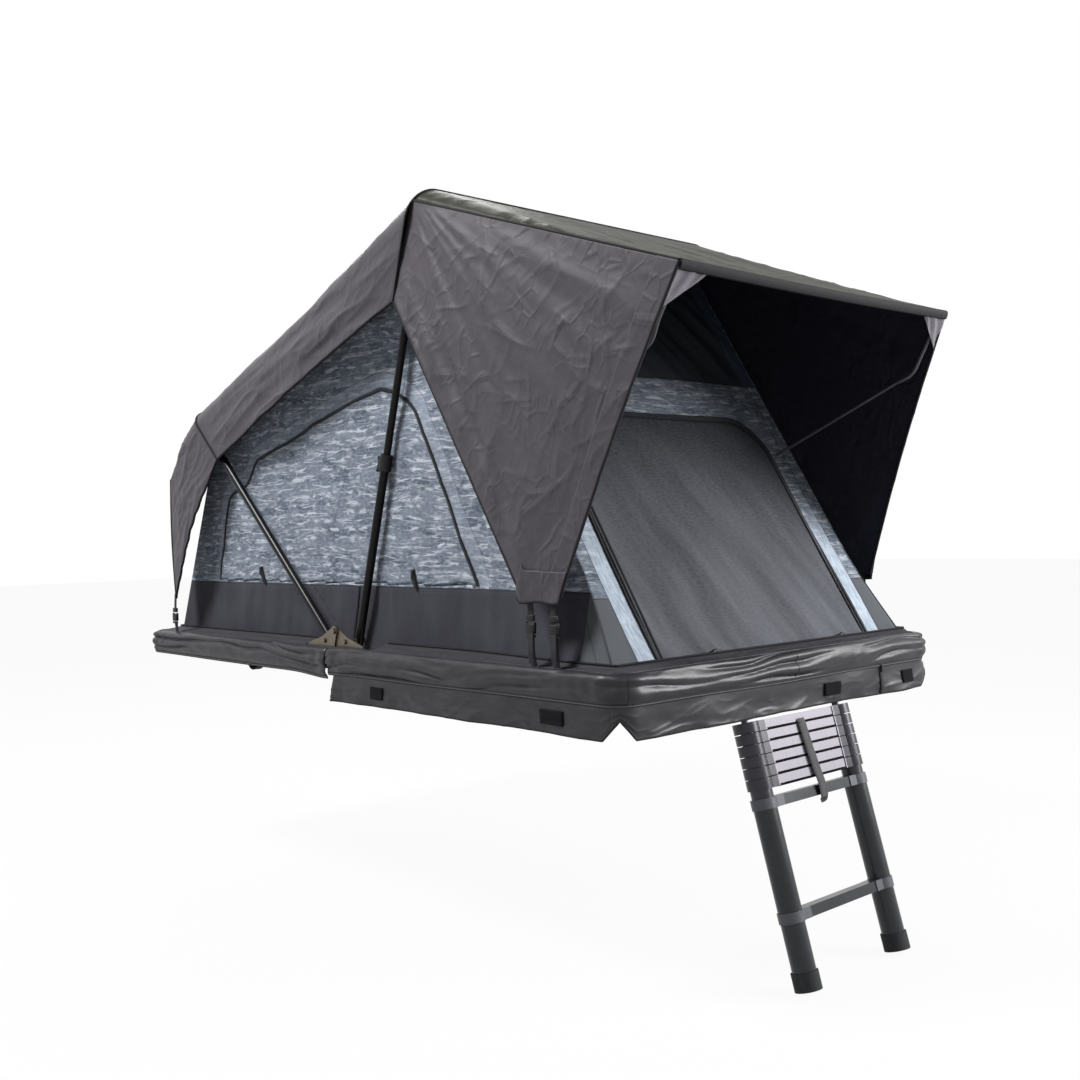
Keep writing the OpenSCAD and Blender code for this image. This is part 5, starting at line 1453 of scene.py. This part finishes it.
def buildAwningSides():
    a = awning
    across = steps(0, 1, a["sideGrid"])
    t, q = np.meshgrid(across, across, indexing="ij")
    upper, lower = awningSideEdges(t)
    points = upper * (1 - q[..., None]) + lower * q[..., None]
    points[..., 0] += a["frontBow"] * t * np.sin(math.pi * q)
    points[..., 1] += a["bulge"] * np.sin(math.pi * t) * np.sin(math.pi * q)
    x, z = points[..., 0].copy(), points[..., 2].copy()
    hold = fadeIn(q, 9) * fadeIn(1 - q, 12)
    edge = fadeIn(t, 7) * np.clip((1 - t) * 5 + 0.12, 0, 1)
    fanX, fanZ = a["fanFrom"]
    fan = np.arctan2(x - fanX, fanZ - z)
    reach = np.hypot(x - fanX, fanZ - z)
    tension = (0.5 + 0.5 * latticeNoise(fan * 14, reach * 0.9, 121)) * 0.010 * hold * edge
    (rearX, rearZ), (inX, inZ) = a["rearEdge"]
    inward = (x - rearX) * inX + (z - rearZ) * inZ
    gathers = 0.5 + 0.5 * np.sin(inward * 105 + 1.6 * latticeNoise(inward * 3, reach * 0.8, 123))
    tension += gathers * 0.013 * np.exp(-inward / 0.12) * hold * edge
    lines = straightCreases(x, z, 131, 80, 0.16, 0.0036, 0.008) * hold * edge
    fine = straightCreases(x, z, 141, 150, 0.055, 0.0026, 0.0055) * hold
    draw = fadeIn(q - 0.55, 2.2) * fadeIn(1 - q, 14) * np.clip((1 - t) * 6 + 0.1, 0, 1)
    pull = (0.5 + 0.5 * np.sin(t * 34 + 2.2 * latticeNoise(t * 4, q * 3, 151))) * 0.008 * draw
    points[..., 1] += tension + lines + fine + pull + 0.0015
    points[..., 1] *= -1
    cut = np.stack([x, z], -1)
    lift = np.array([0, -0.0022, 0])
    sheet = clothPiece("awningSideNear", points, cut, fly["thick"], awningSideCloth)
    facing = clothPiece("awningFacingNear", points[-a["facing"]:] + lift, cut[-a["facing"]:] + a["facingCut"],
                        a["facingThick"], awningSideCloth)
    first = int(a["sideGrid"] * a["knee"]) - 4
    hanging = points[first:, -a["flap"]:] + 2 * lift
    drop = steps(0, 1, a["flap"])[None, :]
    hanging[..., 2] -= 0.012 * drop * (1 + 0.16 * np.sin(steps(0, 9, len(hanging)))[:, None])
    hanging[..., 1] -= 0.006 * drop * (0.5 + 0.5 * np.sin(steps(0.5, 8, len(hanging)))[:, None])
    flap = clothPiece("awningFlapNear", hanging, cut[first:, -a["flap"]:] + a["flapCut"], a["flapThick"],
                      awningSideCloth)
    for item in (sheet, facing, flap):
        markInside(item, -1.0)
    for item in (facing, flap):
        for each in bothSides(item, item.name.replace("Near", "Far")):
            foldCloth(each, "Front")
            declareCloth(each)
    edges = (("awningEdge", points[:first + 1, -1], fly["pipe"], "webbing"),
             ("awningFront", points[-1], fly["pipe"], "webbing"),
             ("awningRear", points[0] + np.array([0, -0.002, 0]), fly["seamPipe"], "webbing"),
             ("awningFlapEdge", hanging[:, -1], a["flapPipe"], "fly_cloth"))
    for name, line, radius, slot in edges:
        cord = wear(pipePiece(name + "Near", line, radius), piping)
        for each in bothSides(cord, name + "Far"):
            foldCloth(each, "Front")
    for each in bothSides(sheet, "awningSideFar"):
        foldCloth(each, "Front", ("awning_sides",))
        declareCloth(each)
    return points[-1]


def buildAwningCorners(frontLine):     # pockets for the struts' ends, and gussets under the front hem
    a = awning
    path = smoothLine([(x, -y, z) for x, y, z in a["sleeve"]], 8)
    sleeve = wear(pipePiece("strutSleeveNear", path, a["sleeveR"]), strutSteel)
    for each in bothSides(sleeve, "strutSleeveFar"):
        foldCloth(each, "Front")
    across = steps(0, 1, a["gussetGrid"])
    u, v = np.meshgrid(across, across, indexing="ij")
    along, down = a["gusset"]
    at = v * down * (1 - u)
    run = runAlong(frontLine)
    edgeAt = np.stack([np.interp(at, run, frontLine[:, i]) for i in range(3)], -1)
    points = edgeAt + np.stack([0.002 + 0 * u, u * along, -0.014 * u * (1 - v)], -1)
    points[..., 0] += 0.007 * np.sin(u * 16 + v * 5) * v * (1 - v) * 2
    cut = np.stack([u * along, at], -1)
    gusset = clothPiece("awningGussetNear", points, cut, a["gussetThick"], gussetCloth)
    for each in bothSides(gusset, "awningGussetFar"):
        foldCloth(each, "Front")
        declareCloth(each)


buildAwningTop()
buildAwningCorners(buildAwningSides())
print("awning made")

ties = {                               # straps as (ahead of the tie, across, up)
    "width": 0.022, "thick": 0.0022,
    "front": (0.8895, 0.9705), "rear": -1.005,
    "frontBuckle": (0.0, -0.650, 0.118),
    "frontStrap": [(0.0, -0.642, 0.012), (-0.002, -0.647, 0.05), (0.0, -0.650, 0.092)],
    "frontLoop": [(0.0, -0.650, 0.126), (0.002, -0.652, 0.155), (0.0, -0.654, 0.185)],
    "frontTail": [(0.004, -0.657, 0.096), (0.010, -0.662, 0.06), (0.008, -0.658, 0.022)],
    "rearBuckle": (-0.002, -0.645, 0.078),
    "rearStrap": [(0.0, -0.640, 0.012), (0.0, -0.643, 0.035), (0.0, -0.645, 0.052)],
    "rearLoop": [(-0.002, -0.645, 0.094), (-0.004, -0.643, 0.12), (-0.004, -0.641, 0.15)],
}
buckleParts = [                        # side-release buckle: place from its middle, size, bevel
    ((0, 0, -0.012), (0.030, 0.011, 0.026), 0.0035),           # body
    ((0, 0, 0.014), (0.026, 0.009, 0.016), 0.003),             # plug
    ((0, -0.001, -0.030), (0.032, 0.008, 0.007), 0.0025),      # webbing bar
    ((-0.014, 0, -0.004), (0.006, 0.008, 0.016), 0.0022),      # prongs
    ((0.014, 0, -0.004), (0.006, 0.008, 0.016), 0.0022),
]


def tieBuckle(name, x):
    middle = np.array(ties[name]) + (x, 0, 0)
    made = []
    for offset, size, bevel in buckleParts:
        made.append(wear(boxPiece(name, middle + offset, size, bevel), blackPlastic))
    return made


def tieStrap(name, x, count, share=1.0):
    path = smoothLine(np.array(ties[name]) + (x, 0, 0), count)
    return wear(ribbonPiece(name, path, ties["width"] * share, ties["thick"], nearFace), webbing)


def buildTies():
    for i, x in enumerate(ties["front"]):
        tail = tieStrap("frontTail", x, 8, 0.9)
        tail.name = tail.data.name = "frontTailNear%d" % i
        for each in bothSides(tail, "frontTailFar%d" % i):
            foldCloth(each, "Front")
            declareCloth(each)
        parts = tieBuckle("frontBuckle", x) + [tieStrap("frontStrap", x, 8), tieStrap("frontLoop", x, 8)]
        for each in bothSides(joined("frontTieNear%d" % i, parts), "frontTieFar%d" % i):
            foldCloth(each, "Front", ("front_ties",))
    x = ties["rear"]
    parts = tieBuckle("rearBuckle", x) + [tieStrap("rearStrap", x, 6), tieStrap("rearLoop", x, 6, 0.7)]
    for each in bothSides(joined("rearTieNear", parts), "rearTieFar"):
        foldCloth(each, "Rear", ("rear_ties",))


buildTies()
print("ties made")

# Base: padded cover band, welt, skirt

baseLine = {"cornerR": 0.055, "start": 0.004}


def basePath(start, gap):              # stations round the free sides of a half: place and outward direction
    r = baseLine["cornerR"]
    far, wide = tent["halfLength"], tent["halfWidth"]
    places, ways, runs = [], [], []
    side = steps(start, far - r, int((far - r - start) / gap) + 1)
    for x in side[:-1]:
        places.append((x, -wide))
        ways.append((0.0, -1.0))
        runs.append(x - start)
    run = far - r - start
    for a in steps(-90, 0, 15)[:-1]:
        way = (math.cos(math.radians(a)), math.sin(math.radians(a)))
        places.append((far - r + r * way[0], -wide + r + r * way[1]))
        ways.append(way)
        runs.append(run + r * math.radians(a + 90))
    run += r * math.pi / 2
    for y in steps(-wide + r, 0, int((wide - r) / gap) + 1):
        places.append((far, y))
        ways.append((1.0, 0.0))
        runs.append(run + y + wide - r)
    places, ways, runs = np.array(places), np.array(ways), np.array(runs)
    places = np.concatenate([places, places[::-1][1:] * np.array([1, -1])])
    ways = np.concatenate([ways, ways[::-1][1:] * np.array([1, -1])])
    runs = np.concatenate([runs, (2 * runs[-1] - runs[::-1])[1:]])
    return places, ways, runs


def alongBase(places, ways, n, z):     # points n metres out from the base's side, at height z
    flat = places[:, None, :] + ways[:, None, :] * n[..., None]
    return np.concatenate([flat, np.broadcast_to(z, n.shape)[..., None]], axis=-1)


coverBand = {
    "profile": [(-0.016, 0.006), (-0.006, 0.0125), (0.006, 0.0115), (0.0145, 0.003), (0.0185, -0.010),
                (0.0195, -0.024), (0.0185, -0.038), (0.0145, -0.049), (0.0105, -0.056), (0.008, -0.060)],
    "gap": 0.009, "thick": 0.0024, "mostOut": 0.0035,
    "corners": (0.31, 0.69),           # gathers at the corners, as shares of the band's length
    "zipHeight": 0.013, "zipThick": 0.004, "seamRow": 3, "seamR": 0.0022,
    "joinWidth": 0.007, "joinThick": 0.0016,
    "fold": {"seed": 401, "droop": 0.003, "joins": (0.33, 0.5, 0.67)},
    "fixed": {"seed": 431, "droop": 0.012, "joins": (0.33, 0.67)},
}


def toHalf(item, half):                # a piece of the fold-out half, turned over for the fixed one
    return reflect(item, 0, tent["shift"][0]) if half == "fixed" else item


def withHeight(ways, height):          # outward directions with a height of their own
    return np.concatenate([ways, np.full((len(ways), 1), height)], axis=1)


def buildBand(half):
    b, own = coverBand, coverBand[half]
    seed, row = own["seed"], b["seamRow"]
    places, ways, runs = basePath(baseLine["start"], b["gap"])
    profile = smoothLine(b["profile"], 4)
    length = runAlong(profile)
    s, v = np.meshgrid(runs, length, indexing="ij")
    n = np.broadcast_to(profile[:, 0], s.shape)
    z = np.broadcast_to(profile[:, 1], s.shape)
    down = v / length[-1]
    long = latticeNoise(s * 2.0, v * 16, seed) * 0.003
    drift = latticeNoise(s * 1.3, v * 9, seed + 4) + 0.4 * latticeNoise(s * 4.5, v * 14, seed + 5)
    roll = np.abs(np.sin(math.pi * (v / 0.040 + 1.15 * drift + s * 0.8)))
    puff = np.clip(0.5 + 1.2 * latticeNoise(s * 2.6, v * 15, seed + 6), 0.0, 1) * np.clip(v / 0.03, 0.3, 1)
    slant = -0.014 * (1 - roll) * puff
    fine = crease(s * 12, v * 30 + s * 6, seed + 7) * 0.0012
    near = np.exp(-((s - runs[0]) / 0.12) ** 2) + np.exp(-((s - runs[-1]) / 0.12) ** 2)
    corner = sum(np.exp(-((s - runs[-1] * at) / 0.10) ** 2) for at in b["corners"])
    gather = latticeNoise(s * 26, v * 16, seed + 11) * 0.005 * np.clip(near + corner, 0, 1)
    dent = (long + slant + fine + gather + 0.0005) * fadeIn(np.sin(math.pi * np.clip(down, 0, 1)), 1.8)
    droop = own["droop"] * near * down
    sway = 0.004 * latticeNoise(s * 1.6, 0 * v + 3.3, seed + 13) * down
    points = alongBase(places, ways, n + np.minimum(dent, b["mostOut"]), z - droop + sway)
    band = thicken(gridPiece(half + "Band", points, np.stack([s, v], -1), flip=True), b["thick"])
    lower = points[:, -1] + withHeight(ways * 0.001, 0.0)
    zipper = ribbonPiece(half + "BandZip", lower, b["zipHeight"], b["zipThick"], withHeight(ways, -0.35), 0.3)
    cord = pipePiece(half + "BandSeam", points[:, row] + np.array([0, 0, 0.0015]), b["seamR"])
    seams = []
    for at in own["joins"]:
        i = int(len(runs) * at)
        out = np.array([*ways[i], 0.0])
        line = points[i, row:-1] + out * 0.0016
        seams.append(ribbonPiece("bandJoin", line, b["joinWidth"], b["joinThick"], out))
    parts = [zipper, cord, joined(half + "BandJoin", seams)]
    for item in [band] + parts:
        wear(toHalf(item, half), bandZip if item is zipper else coverVinyl)
        dress(soften(item), half + "_base", (half + "_band",))
    declareCloth(band)


buildBand("fold")
buildBand("fixed")

welt = {"start": 0.175, "gap": 0.010, "inner": 0.5625, "end": 1.1335, "outer": -0.010, "columns": 14,
        "low": 0.0115, "climb": 0.013, "width": 0.06, "thick": 0.0016, "cordR": 0.003}


def buildWelt(half):
    w = welt
    places, ways, runs = basePath(w["start"], w["gap"])
    outer = places + ways * w["outer"]
    wide = w["inner"] + (cornerFlare(places[:, 0], 0.03) if half == "fold" else 0.0)
    inner = np.stack([np.minimum(places[:, 0], w["end"]), np.clip(places[:, 1], -wide, wide)], -1)
    s, q = np.meshgrid(runs, steps(0, 1, w["columns"]), indexing="ij")
    flat = inner[:, None, :] * (1 - q[..., None]) + outer[:, None, :] * q[..., None]
    ripple = 0.0022 * latticeNoise(s * 40, q * 3, 501) + 0.003 * latticeNoise(s * 6, q * 2, 503)
    z = w["low"] + w["climb"] * (1 - q) ** 1.6 + ripple * np.sin(math.pi * q)
    points = np.concatenate([flat, z[..., None]], axis=-1)
    strip = clothPiece(half + "Welt", points, np.stack([s, q * w["width"]], -1), w["thick"], stitchedWelt)
    cord = wear(pipePiece(half + "WeltCord", points[:, 0] + np.array([0, 0, 0.003]), w["cordR"]), piping)
    for item, slot in ((strip, "cover_vinyl"), (cord, "webbing")):
        dress(toHalf(item, half), half + "_base")
    declareCloth(strip)


buildWelt("fold")
buildWelt("fixed")
print("bands and welts made")

skirt = {
    "n": 0.0085, "top": -0.0565, "drop": 0.138, "start": 0.032, "gap": 0.008, "rows": 34, "thick": 0.0016,
    "cutHeight": 0.082, "hemR": 0.0026,
    "notchAt": 0.043, "notchHalf": 0.036, "notchRise": 0.046,
    "patches": [(0.22, 0.066), (0.93, 0.086), (1.93, 0.08), (2.30, 0.06)],   # place along the skirt, width
    "mirroredPatches": 2, "patchRows": (0.34, 0.78), "patchThick": 0.002, "patchOut": 0.0034,
    "slit": 2.17, "slitWidth": 0.014, "slitThick": 0.0024, "pull": (0.005, 0.007, 0.020),
    "endFrom": 1.155,                  # the skirt is cut here into its sides and its end; on the real tent the ladder pushes the end up
    "pushAt": 1.18, "pushKeep": 0.2,
}


def buildSkirt():
    k = skirt
    places, ways, runs = basePath(k["start"], k["gap"])
    s, q = np.meshgrid(runs, steps(0, 1, k["rows"]), indexing="ij")
    total = runs[-1]
    cornerA = tent["halfLength"] - baseLine["cornerR"] - k["start"] + k["notchAt"]
    notch = sum(np.clip(1 - np.abs(s - at) / k["notchHalf"], 0, 1) for at in (cornerA, total - cornerA))
    ends = np.clip(1 - s / 0.05, 0, 1) + np.clip(1 - (total - s) / 0.05, 0, 1)
    low = -k["drop"] + k["notchRise"] * notch + 0.004 * latticeNoise(s * 2.0, 0 * q, 601)
    z = k["top"] + (low - k["top"]) * q
    wave = (latticeNoise(s * 4.2, q * 0.8, 611) * 0.010 + latticeNoise(s * 11, q * 1.5, 613) * 0.004) * q
    wave += crease(s * 9 + q * 1.2, q * 2.2 - s * 3, 617) * 0.003 * q
    n = k["n"] + np.clip(wave, -0.004, 0.011) + 0.006 * notch * q + 0.010 * ends * q
    points = alongBase(places, ways, n, z)
    cut = np.stack([s, (1 - q) * k["cutHeight"]], -1)
    sheet = wear(gridPiece("coverSkirt", points, cut, flip=True), coverVinyl)
    hem = wear(pipePiece("skirtHem", points[:, -1], k["hemR"]), piping)
    patches = []
    rows = np.arange(*(int(k["rows"] * share) for share in k["patchRows"]))
    for at, wide in k["patches"] + [(total - p, w) for p, w in k["patches"][:k["mirroredPatches"]]]:
        picks = np.where(np.abs(runs - at) < wide / 2)[0]
        block = points[picks][:, rows] + withHeight(ways[picks], 0.0)[:, None, :] * k["patchOut"]
        blockCut = cut[picks][:, rows]
        patches.append(clothPiece("skirtPatch", block, blockCut, k["patchThick"], loopPatch, flip=True))
    i = int(np.argmin(np.abs(runs - k["slit"])))
    out = np.array([*ways[i], 0.0])
    slit = ribbonPiece("skirtSlit", points[i, 1:] + out * 0.0026, k["slitWidth"], k["slitThick"], out, 0.3)
    pull = boxPiece("skirtPull", points[i, 5] + out * 0.006, k["pull"], 0.0018)
    patch = joined("skirtPatches", patches + [wear(slit, zipTape), wear(pull, blackPlastic)])
    endX = rowPoint(k["endFrom"], 0, 0)
    for item, slot in ((sheet, "cover_vinyl"), (hem, "webbing"), (patch, "webbing")):
        for name, way in (("Sides", 1), ("End", -1)):
            part = trimmed(item, item.name + name, [(endX, Vector((way, 0, 0)))])
            if item is sheet:
                thicken(part, k["thick"])
            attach(soften(part), "fold_base")
            if name == "End":
                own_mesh(part)
            label(part, ("skirt",))
            if item is sheet:
                declareCloth(part)
        bpy.data.objects.remove(item)


buildSkirt()
print("skirt made")

# Mattresses: crowned pads with pulled-in sides and piped edges

mattress = {
    "halfWidth": 0.54, "low": 0.0003, "high": 0.044, "crown": 0.004, "pull": 0.012, "perSide": 64,
    "edgeR": 0.010, "pipe": 0.0026, "pipeRow": 7, "fill": 0.85,
    "foot": [(0.6, True, 0.0), (0.985, True, 0.0), (0.996, True, 0.001),
             (1.0, True, 0.005)],      # share of the size, on the low side, inset
    "pads": [("fixed", -1.096, -0.008), ("fold", 0.008, 1.0402)],
}


def buildMattress(half, x0, x1):
    m, r = mattress, mattress["edgeR"]
    t = steps(-1, 1, m["perSide"] + 1)[:-1]
    one = np.ones_like(t)
    ring = np.concatenate([np.stack(side, -1) for side in ((t, -one), (one, t), (-t, one), (-one, -t))])
    rows = list(m["foot"])
    for a in np.radians(steps(0, 90, 7)):          # rounded upper edge
        rows.append((1 - r * (1 - math.cos(a)) / m["halfWidth"], False, r * (1 - math.sin(a))))
    rows += [(share, False, 0.0) for share in steps(0.96, 0.04, 40)]
    points = []
    for share, isLow, inset in rows:
        a, b = ring.T * share
        x = (x0 + x1) / 2 + a * ((x1 - x0) / 2 - m["pull"] * (1 - b ** 4) * np.abs(a))
        y = b * (m["halfWidth"] - m["pull"] * (1 - a ** 4) * np.abs(b))
        sag = m["crown"] * (1 - (1 - a ** 4) * (1 - b ** 4)) + 0.0014 * np.abs(layered(x * 4, y * 4, 701))
        z = m["low"] + inset + 0 * x if isLow else m["high"] - sag - inset
        points.append(np.stack([x, y, z], -1))
    pad = meshPiece(half + "Mattress", np.concatenate(points), tubeFaces(len(rows), len(ring)))
    dress(wear(pad, foamCover), half + "_base", [half + "_mattress"])
    edge = points[m["pipeRow"]]
    pipe = pipePiece(half + "MattressPiping", np.concatenate([edge, edge[:1]]), m["pipe"])
    dress(wear(pipe, piping), half + "_base")


for pad in mattress["pads"]:
    buildMattress(*pad)

carryHandle = {"place": (-0.472, -0.63, -0.05), "radius": 0.034, "width": 0.025, "thick": 0.002}


def buildCarryHandle():
    h = carryHandle
    x, y, z = h["place"]
    half = h["width"] / 2
    turn, across = np.meshgrid(steps(0, math.pi, 33), steps(-half, half, 7), indexing="ij")
    points = np.stack([x + h["radius"] * np.cos(turn), y + across, z - h["radius"] * np.sin(turn)], -1)
    strap = clothPiece("carryStrap", points, np.stack([turn * h["radius"], across], -1), h["thick"], webbing)
    dress(strap, "fixed_base", ["carry_handle"])
    declareCloth(strap)


buildCarryHandle()
print("mattresses and handle made")

# Ladder: near-black sheets in the gaps between rungs and strips over their lower edges, painted shade where
# the rungs meet; strap in front of the stack

ladderKit = {
    "pivot": (1.16, -0.105), "lean": 15.5,
    "top": 0.048,                      # from the pivot to the top rung, along the ladder
    # sizes of the near-black sheets between the rungs and of the strips over their lower edges, which paint
    # the shade there
    "pitch": 0.028, "padDown": 0.027, "pad": (0.040, 0.292, 0.0016),
    "lip": (0.0012, 0.292, 0.0062), "lipOut": 0.0214, "lipUp": 0.0025,
    "strapDown": 0.042, "strapWidth": 0.032, "strapThick": 0.0022, "loopWidth": 0.012, "loopThick": 0.002,
    "strap": [(0.0245, -0.004, -0.016), (0.027, -0.003, -0.012), (0.028, 0.002, 0.05), (0.029, 0.008, 0.10),
              (0.031, 0.013, 0.145), (0.027, 0.016, 0.178)],   # ahead, across, down
    "loop": [(0.020, 0.016, 0.13), (0.024, 0.030, 0.16), (0.026, 0.020, 0.182), (0.027, -0.004, 0.186)],
}


def ladderPoint(ahead, y, down):
    lean = math.radians(ladderKit["lean"])
    x0, z0 = ladderKit["pivot"]
    x = x0 + down * math.sin(lean) + ahead * math.cos(lean)
    return (x, y, z0 - down * math.cos(lean) + ahead * math.sin(lean))


def ladderRibbon(name, line, width, thick, finish):   # webbing in front of the closed ladder
    start = ladderKit["top"] + ladderKit["strapDown"]
    path = smoothLine([ladderPoint(ahead, y, start + down) for ahead, y, down in line], 10)
    lean = math.radians(ladderKit["lean"])
    strap = wear(ribbonPiece(name, path, width, thick, (math.cos(lean), 0, math.sin(lean))), finish)
    dress(strap, "ladder_1")
    declareCloth(strap)


def buildLadderKit():
    k = ladderKit
    turn = Matrix.Rotation(-math.radians(k["lean"]), 3, "Y")
    for i in range(1, 7):
        down = k["top"] + (i - 1) * k["pitch"] + k["padDown"]
        parts = [boxPiece("padBody", ladderPoint(0, 0, down), k["pad"], 0.0005, turn, 2)]
        for ahead in (-1, 1):          # dark strips over the rung's lower edges: painted shade
            place = ladderPoint(ahead * k["lipOut"], 0, down - k["lipUp"])
            parts.append(boxPiece("edgeShadeStrip", place, k["lip"], 0.0004, turn, 2))
        for part in parts:
            wear(part, padRubber)
        dress(joined("rungShade%d" % i, parts), "ladder_%d" % i)
    ladderRibbon("ladderStrap", k["strap"], k["strapWidth"], k["strapThick"], greyWebbing)
    ladderRibbon("ladderStrapLoop", k["loop"], k["loopWidth"], k["loopThick"], webbing)


buildLadderKit()
print("ladder kit made")
